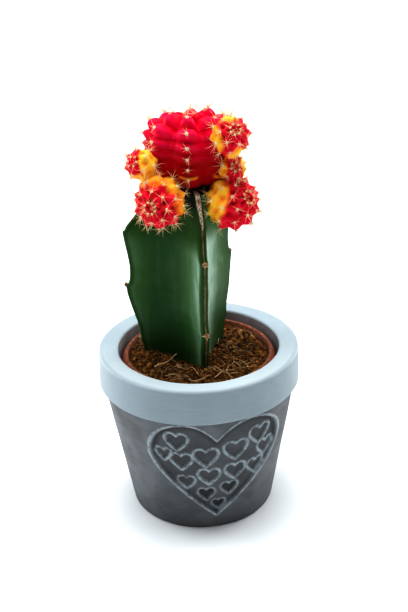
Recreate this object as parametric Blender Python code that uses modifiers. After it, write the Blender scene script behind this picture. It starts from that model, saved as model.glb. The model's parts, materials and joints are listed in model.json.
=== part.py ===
"""Grafted moon cactus: a ribbed red head with its offsets on a three-winged green
rootstock, growing in a small nursery pot that stands inside a relief pot.

Lengths are in metres and +Z is up. The origin is the centre of the relief pot's base.
Azimuths are measured round the vertical axis from the front (-Y), positive towards +X.
"""
import math
import random

import bmesh
import bpy
from mathutils import Matrix, Vector

MM = 0.001
GAP = 0.3 * MM                    # between pieces that touch

# Relief pot: a cast pot with a straight collar and a tapering body
POT_HEIGHT = 68.8 * MM
RIM_RADIUS = 40.0 * MM
COLLAR_HEIGHT = 13.95 * MM
COLLAR_FLARE = 0.4 * MM           # the collar is this much wider at its lower edge
BODY_TOP_RADIUS = 38.7 * MM
FOOT_RADIUS = 29.2 * MM
MOUTH_RADIUS = 32.3 * MM
FLOOR_RADIUS = 25.5 * MM
FLOOR_HEIGHT = 8.0 * MM
EDGE = 0.6 * MM                   # softened edges of rim, collar and foot
POT_STEPS = 64
WALL_FOOT_HEIGHT = 2.2 * MM

# Heart relief: one wide sunk panel with small hearts sunk in its floor
PANEL_AZIMUTH = 11.0
PANEL_HALF_WIDTH = 26.2 * MM
PANEL_HEIGHT = 29.6 * MM          # middle of the panel above the base
PANEL_DEPTH = 1.2 * MM
HEART_DEPTH = 0.9 * MM            # below the panel's floor
# azimuth in degrees, height and width in millimetres
SMALL_HEARTS = (
    (-15.5, 45.0, 9.0), (-25.0, 38.0, 6.4), (-13.5, 35.2, 8.8), (2.7, 37.2, 9.6),
    (21.5, 39.1, 9.8), (38.6, 43.4, 9.6), (45.5, 35.4, 8.2), (38.2, 27.8, 7.6),
    (22.0, 28.4, 8.4), (4.6, 27.4, 8.4), (-11.2, 24.6, 6.6), (19.4, 20.1, 6.8),
    (2.6, 18.3, 6.6), (11.6, 12.5, 5.2),
)

# Nursery pot: thin moulded pot with a lip, standing on the relief pot's floor
NURSERY_TOP = 66.0 * MM
NURSERY_LIP_RADIUS = 30.8 * MM
NURSERY_LIP_HEIGHT = 5.0 * MM
NURSERY_TOP_RADIUS = 29.4 * MM
NURSERY_FOOT_RADIUS = 21.5 * MM
NURSERY_WALL = 1.0 * MM
NURSERY_STEPS = 40
DRAIN_RADIUS = 2.4 * MM
DRAIN_RING = 12.0 * MM
DRAIN_COUNT = 4

# Soil
SOIL_HEIGHT = 64.4 * MM
SOIL_BUMP = 0.75 * MM
SOIL_STEPS = 40
SOIL_RINGS = 9

# Rootstock: three wings round one axis, cut square on top and bevelled beside the graft
STOCK_AXIS = Vector((-2.3 * MM, -1.2 * MM))
STOCK_BASE = 38.0 * MM
STOCK_TOP = 137.6 * MM
STOCK_FULL_HEIGHT = 92.0 * MM     # the wings reach their full width here
WING_WAVE = 2.0 * MM              # depth of the margin's notches above its areoles
EDGE_HALF = 1.5 * MM              # half the thickness of a wing's edge
WEB_HALF = 3.4 * MM
WEB_REACH = 0.34
FACE_POINTS = 5
RING_PITCH = 4.35 * MM
# in degrees and millimetres: widths from the axis, the shoulder's height, the bevel's
# slope above it, and the height and pitch of the areoles
WINGS = (
    dict(azimuth=-98.0, base=19.3, full=25.7, shoulder=116.8, slope=0.76,
         areole=94.6, pitch=22.4),
    dict(azimuth=14.0, base=15.5, full=24.0, shoulder=124.6, slope=0.6,
         areole=113.2, pitch=30.0),
    dict(azimuth=138.0, base=20.0, full=24.0, shoulder=111.0, slope=0.66,
         areole=102.0, pitch=26.4),
)

# Heads. The mother head is a low ribbed globe, pressed flat on the cut rootstock.
MOTHER_CENTRE = Vector((-0.5, -2.0, 150.3)) * MM
MOTHER_RADIUS = 17.0 * MM
MOTHER_FLAT = 12.35 * MM          # its flat underside, below its centre
MOTHER_RISE = 0.80                # height of its upper half, as a share of its radius
MOTHER_SHOULDER = 0.22            # how much broader it is towards the top
MOTHER_LEAN = (0.03, -0.15)       # slope of its crown towards its right and its back
MOTHER_RIBS = 8
MOTHER_TURN = -3.5                # azimuth of the front rib
MOTHER_AREOLES = (60.0, 36.0, 18.0, 4.0, -9.0, -23.0)      # latitudes, on the front rib
CHIN_STOPS = (-90.0, -60.0, -40.0) + tuple(reversed(MOTHER_AREOLES)) + (90.0,)
MOTHER_HELIX = -2                 # areoles by which the rows climb in a turn of the head
RIB_CROWDING = 3.0                # degrees by which the ribs crowd to the sides
MOTHER_COLUMNS = 48
FURROW_TOP = 0.22
FURROW_WAIST = 0.08
CHIN_TOP = 0.16
CHIN_WAIST = 0.07
CROWN_SINK = 0.03
OFFSETS = (
    dict(name="offset_left", centre=(-18.2, -15.4, 149.1), radius=6.0,
         apex=(-0.50, -0.74, 0.45), ribs=6, rows=(18.0, 52.0, 86.0, 120.0)),
    dict(name="offset_lower_left", centre=(-11.9, -19.5, 136.1), radius=9.6,
         apex=(-0.36, -0.92, 0.10), ribs=8, rows=(13.0, 36.0, 60.0, 85.0, 110.0)),
    dict(name="offset_upper_right", centre=(13.9, -15.3, 158.6), radius=7.3,
         apex=(0.22, -0.80, 0.55), ribs=7, rows=(15.0, 43.0, 72.0, 102.0)),
    dict(name="offset_mid_right", centre=(14.3, -12.8, 146.0), radius=5.4,
         apex=(0.24, -0.90, 0.36), ribs=6, rows=(18.0, 54.0, 90.0, 124.0)),
    dict(name="offset_lower_right", centre=(14.2, -13.9, 133.0), radius=10.3,
         apex=(0.58, -0.67, 0.45), ribs=8, rows=(13.0, 36.0, 60.0, 85.0, 110.0)),
)
TUBERCLE = 0.25                   # share of an offset's radius that its tubercles stand out
SUNK_APEX = 0.07
NECK_RADIUS = 3.2 * MM            # stalk by which an offset grows from the mother head
SEAT_MARGIN = 0.45 * MM

# Areoles: a small cushion with a few spines, joined in one star
CUSHION_RADIUS = 0.45 * MM
MOTHER_CUSHION_RADIUS = 0.65 * MM
STOCK_CUSHION_RADIUS = 0.9 * MM
CUSHION_HEIGHT = 0.45 * MM
ROOT_DEPTH = 0.9 * MM             # how far the star is sunk
MOTHER_SPINE = 3.9 * MM
OFFSET_SPINE = 3.0 * MM
STOCK_SPINE = 1.8 * MM
SPREAD = 56.0                     # tilt of the spines away from the areole's axis
OFFSET_FAN = (0.0, 120.0, 240.0)  # directions of the spines round the areole
MOTHER_FAN = (0.0, 70.0, 290.0)   # 0 points down the rib
STOCK_FAN = (60.0, 180.0, 300.0)
CLEAR = 0.7 * MM                  # spines keep this far from every other piece
SEED = 11


def clear_scene():
    for obj in list(bpy.data.objects):
        bpy.data.objects.remove(obj, do_unlink=True)


def new_collection(name):
    collection = bpy.data.collections.new(name)
    bpy.context.scene.collection.children.link(collection)
    return collection


def new_material(name, colour, roughness):
    material = bpy.data.materials.new(name)
    material.use_nodes = True
    shader = material.node_tree.nodes["Principled BSDF"]
    shader.inputs["Base Color"].default_value = (*colour, 1.0)
    shader.inputs["Roughness"].default_value = roughness
    shader.inputs["Metallic"].default_value = 0.0
    return material


def add_object(name, mesh, collection, material=None):
    obj = bpy.data.objects.new(name, mesh)
    collection.objects.link(obj)
    if material is not None:
        mesh.materials.clear()
        mesh.materials.append(material)
    return obj


def mesh_of(bm, name):
    mesh = bpy.data.meshes.new(name)
    bmesh.ops.recalc_face_normals(bm, faces=bm.faces)
    bm.to_mesh(mesh)
    bm.free()
    return mesh


def bake(obj):
    """Turns the object's modifiers into its own mesh."""
    bpy.context.view_layer.update()
    graph = bpy.context.evaluated_depsgraph_get()
    mesh = bpy.data.meshes.new_from_object(obj.evaluated_get(graph))
    obj.modifiers.clear()
    obj.data = mesh
    return obj


def remove_collection(collection):
    for obj in list(collection.objects):
        bpy.data.objects.remove(obj, do_unlink=True)
    bpy.data.collections.remove(collection)


def boolean(obj, operation, operands, solver="EXACT"):
    """Joins or cuts with every object of a collection, then removes the collection."""
    modifier = obj.modifiers.new(operation.lower(), "BOOLEAN")
    modifier.operand_type = "COLLECTION"
    modifier.collection = operands
    modifier.operation = operation
    modifier.solver = solver
    bake(obj)
    remove_collection(operands)
    return obj


def keep_largest_body(obj):
    """Drops loose scraps, so that the mesh is one body."""
    bm = bmesh.new()
    bm.from_mesh(obj.data)
    unseen = set(bm.verts)
    bodies = []
    while unseen:
        stack = [unseen.pop()]
        body = set(stack)
        while stack:
            for edge in stack.pop().link_edges:
                for vert in edge.verts:
                    if vert in unseen:
                        unseen.discard(vert)
                        body.add(vert)
                        stack.append(vert)
        bodies.append(body)
    bodies.sort(key=len, reverse=True)
    for body in bodies[1:]:
        bmesh.ops.delete(bm, geom=list(body), context="VERTS")
    bm.to_mesh(obj.data)
    bm.free()


def smooth(obj, angle=40.0):
    obj.data.shade_smooth()
    obj.data.set_sharp_from_angle(angle=math.radians(angle))


def turned(name, profile, steps, collection, material=None):
    """A profile of (radius, height) points turned round the vertical axis."""
    mesh = bpy.data.meshes.new(name)
    edges = [(i, i + 1) for i in range(len(profile) - 1)]
    mesh.from_pydata([(radius, 0.0, height) for radius, height in profile], edges, [])
    obj = add_object(name, mesh, collection, material)
    screw = obj.modifiers.new("turn", "SCREW")
    screw.steps = steps
    screw.render_steps = steps
    screw.use_merge_vertices = True
    screw.merge_threshold = 0.00001
    return bake(obj)


def lerp(low, high, share):
    return low + (high - low) * share


def smoothstep(share):
    share = min(max(share, 0.0), 1.0)
    return share * share * (3.0 - 2.0 * share)


def outward(azimuth):
    """Unit vector that points level out of the vertical axis."""
    angle = math.radians(azimuth)
    return Vector((math.sin(angle), -math.cos(angle), 0.0))


# ---------------------------------------------------------------- relief pot

def body_radius(height):
    share = height / (POT_HEIGHT - COLLAR_HEIGHT)
    return lerp(FOOT_RADIUS, BODY_TOP_RADIUS, share)


def pot_profile():
    collar_low = POT_HEIGHT - COLLAR_HEIGHT
    collar_radius = RIM_RADIUS + COLLAR_FLARE
    return [
        (0.0, FLOOR_HEIGHT),
        (FLOOR_RADIUS - 2 * EDGE, FLOOR_HEIGHT),
        (FLOOR_RADIUS, FLOOR_HEIGHT + 2 * EDGE),
        (MOUTH_RADIUS, POT_HEIGHT - EDGE),
        (MOUTH_RADIUS + EDGE, POT_HEIGHT),
        (RIM_RADIUS - EDGE, POT_HEIGHT),
        (RIM_RADIUS, POT_HEIGHT - EDGE),
        (collar_radius, collar_low + EDGE),
        (collar_radius - EDGE, collar_low),
        (body_radius(collar_low), collar_low),
        (body_radius(WALL_FOOT_HEIGHT), WALL_FOOT_HEIGHT),
        (body_radius(EDGE) - 0.3 * EDGE, EDGE),
        (FOOT_RADIUS - 1.5 * EDGE, 0.0),
        (0.0, 0.0),
    ]


def heart_mesh(half_width, half_depth, resolution):
    """A heart outline, notch up, given thickness along its own Z."""
    side = ((1.0, 0.02), (1.0, 0.40), (1.0, 0.70))
    lobe = ((0.80, 0.897), (0.515, 0.897), (0.26, 0.897))
    notch = ((0.05, 0.80), (0.0, 0.641), (-0.05, 0.80))
    tip = ((-0.45, -0.45), (0.0, -0.897), (0.45, -0.45))

    def mirrored(knot):
        return tuple((-x, y) for x, y in reversed(knot))

    knots = (tip, side, lobe, notch, mirrored(lobe), mirrored(side))
    curve = bpy.data.curves.new("heart", "CURVE")
    curve.dimensions = "2D"
    curve.fill_mode = "BOTH"
    curve.extrude = half_depth
    curve.resolution_u = resolution
    spline = curve.splines.new("BEZIER")
    spline.use_cyclic_u = True
    spline.bezier_points.add(len(knots) - 1)
    for point, knot in zip(spline.bezier_points, knots):
        point.handle_left_type = "FREE"
        point.handle_right_type = "FREE"
        left, middle, right = [Vector((x, y, 0.0)) * half_width for x, y in knot]
        point.handle_left = left
        point.co = middle
        point.handle_right = right
    guide = bpy.data.objects.new("heart", curve)
    bpy.context.scene.collection.objects.link(guide)
    graph = bpy.context.evaluated_depsgraph_get()
    mesh = bpy.data.meshes.new_from_object(guide.evaluated_get(graph))
    bpy.data.objects.remove(guide, do_unlink=True)
    bm = bmesh.new()
    bm.from_mesh(mesh)
    bmesh.ops.remove_doubles(bm, verts=bm.verts, dist=0.000001)
    return mesh_of(bm, "heart")


def heart_cutter(half_width, azimuth, height, depth, resolution, cutters):
    """A heart prism whose inner end follows the wall, sunk by the given depth."""
    half_depth = 15.0 * MM
    mesh = heart_mesh(half_width, half_depth, resolution)
    cutter = add_object("heart_cutter", mesh, cutters)
    cutter.location = outward(azimuth) * (half_depth + 18.0 * MM) + Vector((0, 0, height))
    cutter.rotation_euler = (math.radians(90.0), 0.0, math.radians(azimuth))
    top = POT_HEIGHT - COLLAR_HEIGHT
    profile = [
        (0.0, top + 2 * MM),
        (body_radius(top + 2 * MM) - depth, top + 2 * MM),
        (body_radius(-2 * MM) - depth, -2 * MM),
        (0.0, -2 * MM),
    ]
    cores = new_collection("cores")
    turned("core", profile, POT_STEPS, cores)
    boolean(cutter, "DIFFERENCE", cores)
    cutter.hide_render = True
    cutter.display_type = "WIRE"


def make_pot(parts, material):
    pot = turned("pot", pot_profile(), POT_STEPS, parts, material)
    cutters = new_collection("cutters")
    heart_cutter(PANEL_HALF_WIDTH, PANEL_AZIMUTH, PANEL_HEIGHT, PANEL_DEPTH, 7, cutters)
    for azimuth, height, width in SMALL_HEARTS:
        heart_cutter(width * MM / 2, azimuth, height * MM, PANEL_DEPTH + HEART_DEPTH, 2, cutters)
    boolean(pot, "DIFFERENCE", cutters)
    keep_largest_body(pot)
    smooth(pot)


# ---------------------------------------------------------------- nursery pot and soil

def nursery_radius(height):
    """Outer radius of the nursery pot's wall below its lip."""
    foot = FLOOR_HEIGHT + GAP
    share = (height - foot) / (NURSERY_TOP - foot)
    return lerp(NURSERY_FOOT_RADIUS, NURSERY_TOP_RADIUS, share)


def make_nursery_pot(parts, material):
    foot = FLOOR_HEIGHT + GAP
    floor = foot + NURSERY_WALL
    lip_low = NURSERY_TOP - NURSERY_LIP_HEIGHT
    bead = 0.4 * MM
    profile = [
        (0.0, floor),
        (nursery_radius(floor) - NURSERY_WALL, floor),
        (nursery_radius(NURSERY_TOP) - NURSERY_WALL, NURSERY_TOP - bead),
        (nursery_radius(NURSERY_TOP) - NURSERY_WALL + bead, NURSERY_TOP),
        (NURSERY_LIP_RADIUS - bead, NURSERY_TOP),
        (NURSERY_LIP_RADIUS, NURSERY_TOP - bead),
        (NURSERY_LIP_RADIUS - bead, lip_low),
        (nursery_radius(lip_low), lip_low),
        (nursery_radius(foot), foot),
        (0.0, foot),
    ]
    pot = turned("nursery_pot", profile, NURSERY_STEPS, parts, material)
    holes = new_collection("drain_holes")
    for index in range(DRAIN_COUNT):
        bm = bmesh.new()
        bmesh.ops.create_cone(bm, cap_ends=True, segments=10, radius1=DRAIN_RADIUS,
                              radius2=DRAIN_RADIUS, depth=4 * NURSERY_WALL)
        hole = add_object("drain_hole", mesh_of(bm, "drain_hole"), holes)
        hole.location = outward(45.0 + index * 360.0 / DRAIN_COUNT) * DRAIN_RING
        hole.location.z = foot
    boolean(pot, "DIFFERENCE", holes)
    smooth(pot)


def soil_bump(x, y):
    """Unevenness of the soil's surface, between -1 and 1."""
    waves = 0.0
    for step in range(5):
        angle = 1.1 + 2.4 * step
        length = (9.0 - 1.4 * step) * MM
        phase = 1.7 * step + 0.6
        along = x * math.cos(angle) + y * math.sin(angle)
        waves += math.sin(2 * math.pi * along / length + phase)
    return waves / 3.0


def make_soil(parts, material):
    floor = FLOOR_HEIGHT + 2 * GAP + NURSERY_WALL
    wall_gap = NURSERY_WALL + GAP
    edge = nursery_radius(SOIL_HEIGHT - 2 * MM) - wall_gap
    rings = [(edge * share / SOIL_RINGS, SOIL_HEIGHT) for share in range(SOIL_RINGS)]
    profile = rings + [
        (edge, SOIL_HEIGHT - 1.2 * MM),
        (nursery_radius(floor) - wall_gap, floor),
        (0.0, floor),
    ]
    soil = turned("soil", profile, SOIL_STEPS, parts, material)
    for vert in soil.data.vertices:
        if vert.co.z > SOIL_HEIGHT - 0.1 * MM:
            vert.co.z += SOIL_BUMP * soil_bump(vert.co.x, vert.co.y)
    holes = new_collection("stem_hole")
    heights = [STOCK_BASE - GAP, SOIL_HEIGHT - 8 * MM, SOIL_HEIGHT, SOIL_HEIGHT + 4 * MM]
    add_object("stem_hole", stock_loft(heights, GAP + 0.1 * MM), holes)
    boolean(soil, "DIFFERENCE", holes)
    keep_largest_body(soil)
    smooth(soil, 60.0)


# ---------------------------------------------------------------- rootstock

def wing_reach(wing, height):
    """How far a wing stands out of the rootstock's axis at a height."""
    share = smoothstep((height - SOIL_HEIGHT) / (STOCK_FULL_HEIGHT - SOIL_HEIGHT))
    reach = lerp(wing["base"], wing["full"], share) * MM
    if height < SOIL_HEIGHT:
        reach -= 0.12 * (SOIL_HEIGHT - height)
    above = ((height / MM - wing["areole"]) / wing["pitch"]) % 1.0
    reach -= WING_WAVE * share * math.sin(math.pi * math.sqrt(above))
    over = height - wing["shoulder"] * MM
    if over > 0.0:
        reach = min(reach, wing["full"] * MM - wing["slope"] * over)
    return reach


def wing_azimuth(wing, height):
    """The wings turn a little towards the soil."""
    share = smoothstep((height - SOIL_HEIGHT) / (STOCK_FULL_HEIGHT - SOIL_HEIGHT))
    return wing["azimuth"] + lerp(5.0, 0.0, share)


def wing_point(wing, height, reach, across):
    """A point given along and across a wing, as a level vector."""
    azimuth = wing_azimuth(wing, height)
    side = outward(azimuth + 90.0)
    point = outward(azimuth) * reach + side * across
    return Vector((point.x + STOCK_AXIS.x, point.y + STOCK_AXIS.y))


def stock_section(height, grow):
    """Three blunt wing edges joined by hollow faces."""
    points = []
    for index, wing in enumerate(WINGS):
        following = WINGS[(index + 1) % len(WINGS)]
        reach = wing_reach(wing, height) + grow
        half = EDGE_HALF + grow
        for back, across in ((0.9, -1.0), (0.2, -0.5), (0.0, 0.0), (0.2, 0.5), (0.9, 1.0)):
            points.append(wing_point(wing, height, reach - back * MM, across * half))
        next_reach = wing_reach(following, height) + grow
        web = WEB_HALF + grow
        start = wing_point(wing, height, reach - 0.9 * MM, half)
        pull_a = wing_point(wing, height, WEB_REACH * reach, web)
        pull_b = wing_point(following, height, WEB_REACH * next_reach, -web)
        end = wing_point(following, height, next_reach - 0.9 * MM, -half)
        for step in range(1, FACE_POINTS + 1):
            t = step / (FACE_POINTS + 1)
            points.append(start * (1 - t) ** 3 + pull_a * 3 * t * (1 - t) ** 2
                          + pull_b * 3 * t * t * (1 - t) + end * t ** 3)
    return points


def stock_loft(heights, grow):
    bm = bmesh.new()
    rings = []
    for height in heights:
        section = stock_section(height, grow)
        rings.append([bm.verts.new((point.x, point.y, height)) for point in section])
    count = len(rings[0])
    for low, high in zip(rings, rings[1:]):
        for i in range(count):
            j = (i + 1) % count
            bm.faces.new((low[i], low[j], high[j], high[i]))
    bm.faces.new(list(reversed(rings[0])))
    bm.faces.new(rings[-1])
    return mesh_of(bm, "stock")


def near_stock(point, margin):
    """True where a point lies within a margin of the rootstock."""
    if point.z > STOCK_TOP + margin:
        return False
    height = min(point.z, STOCK_TOP)
    level = Vector((point.x, point.y)) - STOCK_AXIS
    if level.length < 9.0 * MM + margin:
        return True
    for wing in WINGS:
        direction = outward(wing_azimuth(wing, height))
        along = level.x * direction.x + level.y * direction.y
        across = abs(level.x * direction.y - level.y * direction.x)
        reach = wing_reach(wing, height)
        if 0.0 < along < reach + margin:
            half = lerp(7.0 * MM, EDGE_HALF, min(1.0, along / max(reach, MM)))
            if across < half + margin:
                return True
    return False


def make_rootstock(parts, material):
    heights = [STOCK_BASE, STOCK_BASE + 10 * MM, SOIL_HEIGHT - 4 * MM]
    while heights[-1] + RING_PITCH < STOCK_TOP:
        heights.append(heights[-1] + RING_PITCH)
    heights[-1] = STOCK_TOP
    stock = add_object("rootstock", stock_loft(heights, 0.0), parts, material)
    stars = new_collection("stock_areoles")
    for wing in WINGS:
        height = wing["areole"] * MM
        while height > SOIL_HEIGHT + 5 * MM:
            level = wing_point(wing, height, wing_reach(wing, height) - 0.3 * MM, 0.0)
            place = Vector((level.x, level.y, height))
            normal = outward(wing_azimuth(wing, height))
            frame = areole_frame(place, normal)
            tips = [spine_tip(angle, SPREAD, STOCK_SPINE) for angle in STOCK_FAN]
            add_star(frame, tips, STOCK_CUSHION_RADIUS, stars)
            height -= wing["pitch"] * MM
    boolean(stock, "UNION", stars)
    keep_largest_body(stock)
    smooth(stock, 50.0)


# ---------------------------------------------------------------- areoles and spines

def aim(direction):
    """Rotation that turns +Z to a direction."""
    return Vector((0, 0, 1)).rotation_difference(direction.normalized())


def areole_frame(place, normal):
    """A frame at an areole: Z out of the surface and X down along the rib."""
    normal = normal.normalized()
    down = Vector((0, 0, -1)) - normal * normal.dot(Vector((0, 0, -1)))
    if down.length < 0.01:
        down = Vector((0, -1, 0))
    down.normalize()
    frame = Matrix((down, normal.cross(down), normal)).transposed().to_4x4()
    frame.translation = place
    return frame


def spine_tip(around, tilt, length):
    """The tip of a spine in its areole's frame."""
    level = math.sin(math.radians(tilt)) * length
    angle = math.radians(around)
    upright = math.cos(math.radians(tilt)) * length
    return Vector((level * math.cos(angle), level * math.sin(angle), upright))


def heading(point):
    return math.atan2(point.y, point.x)


def add_star(frame, tips, cushion_radius, collection):
    """A cushion sunk in the surface whose corners run out into tapering spines. The
    tips come in order round the areole."""
    bm = bmesh.new()
    corners = 2 * len(tips)
    bmesh.ops.create_cone(bm, cap_ends=True, cap_tris=True, segments=corners,
                          radius1=cushion_radius, radius2=0.0, depth=cushion_radius)
    ring = [vert for vert in bm.verts if vert.co.xy.length > 0.5 * cushion_radius]
    ring.sort(key=lambda vert: heading(vert.co) % (2 * math.pi))
    for vert in bm.verts:
        vert.co.z = CUSHION_HEIGHT if vert.co.z > 0.0 else -ROOT_DEPTH
    for index, tip in enumerate(tips):
        following = tips[(index + 1) % len(tips)]
        between = heading(tip) + (heading(following) - heading(tip)) % (2 * math.pi) / 2
        ring[2 * index].co = tip
        ring[2 * index + 1].co = (cushion_radius * math.cos(between),
                                  cushion_radius * math.sin(between), 0.0)
    star = add_object("areole", mesh_of(bm, "areole"), collection)
    star.matrix_world = frame


# ---------------------------------------------------------------- heads

def chin_count(latitude):
    """0 at the front rib's lowest areole, and one more at each areole above it."""
    for index, (low, high) in enumerate(zip(CHIN_STOPS, CHIN_STOPS[1:])):
        if latitude <= high:
            return index - 3 + (latitude - low) / (high - low)
    return len(CHIN_STOPS) - 4


def chin_latitude(count):
    """The latitude that has a count."""
    index = min(math.floor(count) + 3, len(CHIN_STOPS) - 2)
    return lerp(CHIN_STOPS[index], CHIN_STOPS[index + 1], count + 3 - index)


def chin_wave(azimuth, latitude):
    """1 on the chins, which carry the areoles, and 0 between them."""
    count = chin_count(latitude) - MOTHER_HELIX * (azimuth - MOTHER_TURN) / 360.0
    ends = smoothstep((latitude + 50.0) / 20.0) * (1.0 - smoothstep((latitude - 66.0) / 22.0))
    return math.cos(math.pi * count) ** 2 * ends


def crowded(azimuth):
    """Real azimuth of an evenly counted one: the ribs crowd towards the head's sides."""
    return azimuth + RIB_CROWDING * math.sin(math.radians(2 * (azimuth - MOTHER_TURN)))


def mother_radius(azimuth, latitude):
    """Radius of the mother head at an evenly counted azimuth."""
    crest = 0.5 + 0.5 * math.cos(math.radians(MOTHER_RIBS * (azimuth - MOTHER_TURN)))
    rise = smoothstep((latitude + 10.0) / 75.0)
    furrow = lerp(FURROW_WAIST, FURROW_TOP, rise)
    radius = 1.0 - furrow * (1.0 - crest) ** 1.6
    chin = lerp(CHIN_WAIST, CHIN_TOP, smoothstep((latitude - 10.0) / 40.0))
    radius += chin * (0.2 + 0.8 * crest) * chin_wave(azimuth, latitude) - 0.45 * CHIN_WAIST
    radius -= CROWN_SINK * smoothstep((latitude - 48.0) / 42.0)
    return MOTHER_RADIUS * radius


def offset_lattice(head, polar):
    """Row number along an offset's tubercles: whole numbers at their tips."""
    rows = head["rows"]
    pitch = rows[1] - rows[0]
    if polar <= rows[0]:
        return -(rows[0] - polar) / pitch
    for index, (low, high) in enumerate(zip(rows, rows[1:])):
        if polar <= high:
            return index + (polar - low) / (high - low)
    return len(rows) - 1 + (polar - rows[-1]) / (rows[-1] - rows[-2])


def offset_radius(head, azimuth, polar):
    row = offset_lattice(head, polar)
    lattice = math.cos(math.radians(head["ribs"] * azimuth)) * math.cos(math.pi * row)
    bump = (0.5 + 0.5 * lattice) ** 1.25
    fade = smoothstep(polar / head["rows"][0]) * smoothstep((165.0 - polar) / 30.0)
    radius = 1.0 - TUBERCLE + TUBERCLE * lerp(0.5, bump, fade)
    radius -= SUNK_APEX * (1.0 - smoothstep(polar / (head["rows"][0] + 8.0)))
    return head["radius"] * MM * radius


def sphere_rows(stops, between):
    """Polar angles between stops, each stretch split evenly."""
    angles = []
    for low, high in zip(stops, stops[1:]):
        angles += [lerp(low, high, part / between) for part in range(between)]
    return angles + [stops[-1]]


def shaped_sphere(name, columns, polars, radius_at, place_azimuth=lambda azimuth: azimuth):
    """A UV sphere whose rows lie at the given polar angles and whose surface follows
    radius_at(azimuth, polar)."""
    bm = bmesh.new()
    bmesh.ops.create_uvsphere(bm, u_segments=columns, v_segments=len(polars) - 1, radius=1.0)
    step = math.pi / (len(polars) - 1)
    for vert in bm.verts:
        row = round(math.acos(max(-1.0, min(1.0, vert.co.z))) / step)
        azimuth = math.degrees(math.atan2(vert.co.x, -vert.co.y))
        polar = polars[row]
        radius = radius_at(azimuth, polar)
        level = outward(place_azimuth(azimuth)) * math.sin(math.radians(polar))
        vert.co = (level + Vector((0, 0, math.cos(math.radians(polar))))) * radius
    return mesh_of(bm, name)


def pressed(point):
    """A point of the mother head's globe, once it is low and broad on top, leans a little
    and is flat underneath."""
    if point.z <= 0.0:
        return Vector((point.x, point.y, max(point.z, -MOTHER_FLAT)))
    up = point.z / point.length
    level = Vector((point.x, point.y, 0.0)) * (1.0 + MOTHER_SHOULDER * up * up)
    lean = up * (MOTHER_LEAN[0] * level.x + MOTHER_LEAN[1] * level.y)
    return level + Vector((0.0, 0.0, point.z * MOTHER_RISE + lean))


def mother_mesh(grow):
    stops = (0.0,) + tuple(90.0 - latitude for latitude in MOTHER_AREOLES) + (136.0,)
    polars = sphere_rows(stops, 3) + [150.0, 180.0]

    def radius_at(azimuth, polar):
        return mother_radius(azimuth, 90.0 - polar) + grow

    mesh = shaped_sphere("mother_head", MOTHER_COLUMNS, polars, radius_at, crowded)
    for vert in mesh.vertices:
        vert.co = pressed(vert.co)
    return mesh


def offset_mesh(head, grow):
    stops = (0.0,) + head["rows"]
    last = 2 * head["rows"][-1] - head["rows"][-2]
    polars = sphere_rows(stops, 2) + [last, 180.0]

    def radius_at(azimuth, polar):
        return offset_radius(head, azimuth, polar) + grow

    return shaped_sphere(head["name"], 4 * head["ribs"], polars, radius_at)


def head_frame(head):
    return Vector(head["centre"]) * MM, aim(Vector(head["apex"]))


def add_offset_body(head, grow, collection, material=None):
    centre, turn = head_frame(head)
    body = add_object(head["name"], offset_mesh(head, grow), collection, material)
    body.location = centre
    body.rotation_mode = "QUATERNION"
    body.rotation_quaternion = turn
    return body


def head_spheres():
    spheres = [("mother_head", MOTHER_CENTRE, MOTHER_RADIUS)]
    for head in OFFSETS:
        spheres.append((head["name"], Vector(head["centre"]) * MM, head["radius"] * MM))
    return spheres


def is_clear(name, point, margin):
    """True where a point keeps a margin from every head but its own and the rootstock."""
    for other, centre, radius in head_spheres():
        if other != name and (point - centre).length < radius + margin:
            return False
    return not near_stock(point, margin)


def add_areole(name, frame, fan, length, cushion_radius, draw, taken, collection):
    """A star of spines; those that would reach another piece are drawn in to the cushion."""
    place = frame.translation
    if not is_clear(name, place, cushion_radius + 0.4 * MM):
        return
    tips = []
    for around in fan:
        around += draw.uniform(-14.0, 14.0)
        tilt = SPREAD + draw.uniform(-12.0, 12.0)
        tip = spine_tip(around, tilt, length * draw.uniform(0.85, 1.1))
        samples = [frame @ (tip * part / 5) for part in range(1, 6)]
        reaches = not all(is_clear(name, sample, CLEAR) for sample in samples)
        crosses = any((sample - other).length < CLEAR
                      for owner, other in taken if owner != name for sample in samples)
        if reaches or crosses:
            tips.append(spine_tip(around, 80.0, cushion_radius))
        else:
            tips.append(tip)
            taken += [(name, sample) for sample in samples]
    add_star(frame, tips, cushion_radius, collection)


def make_mother(parts, material, draw, taken):
    head = add_object("mother_head", mother_mesh(0.0), parts, material)
    head.location = MOTHER_CENTRE
    repeats = new_collection("mother_repeats")
    for rib in range(MOTHER_RIBS):
        azimuth = MOTHER_TURN + rib * 360.0 / MOTHER_RIBS
        climb = MOTHER_HELIX * rib / MOTHER_RIBS % 1.0
        counts = [step + climb for step in range(len(MOTHER_AREOLES)) if step + climb < 5.6]
        for latitude in map(chin_latitude, counts):
            normal = outward(crowded(azimuth)) * math.cos(math.radians(latitude))
            normal.z = math.sin(math.radians(latitude))
            place = MOTHER_CENTRE + pressed(normal * mother_radius(azimuth, latitude))
            if place.z > STOCK_TOP + 2 * MM:
                frame = areole_frame(place, normal)
                add_areole("mother_head", frame, MOTHER_FAN, MOTHER_SPINE,
                           MOTHER_CUSHION_RADIUS, draw, taken, repeats)
    boolean(head, "UNION", repeats)
    keep_largest_body(head)
    smooth(head, 60.0)


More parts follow.
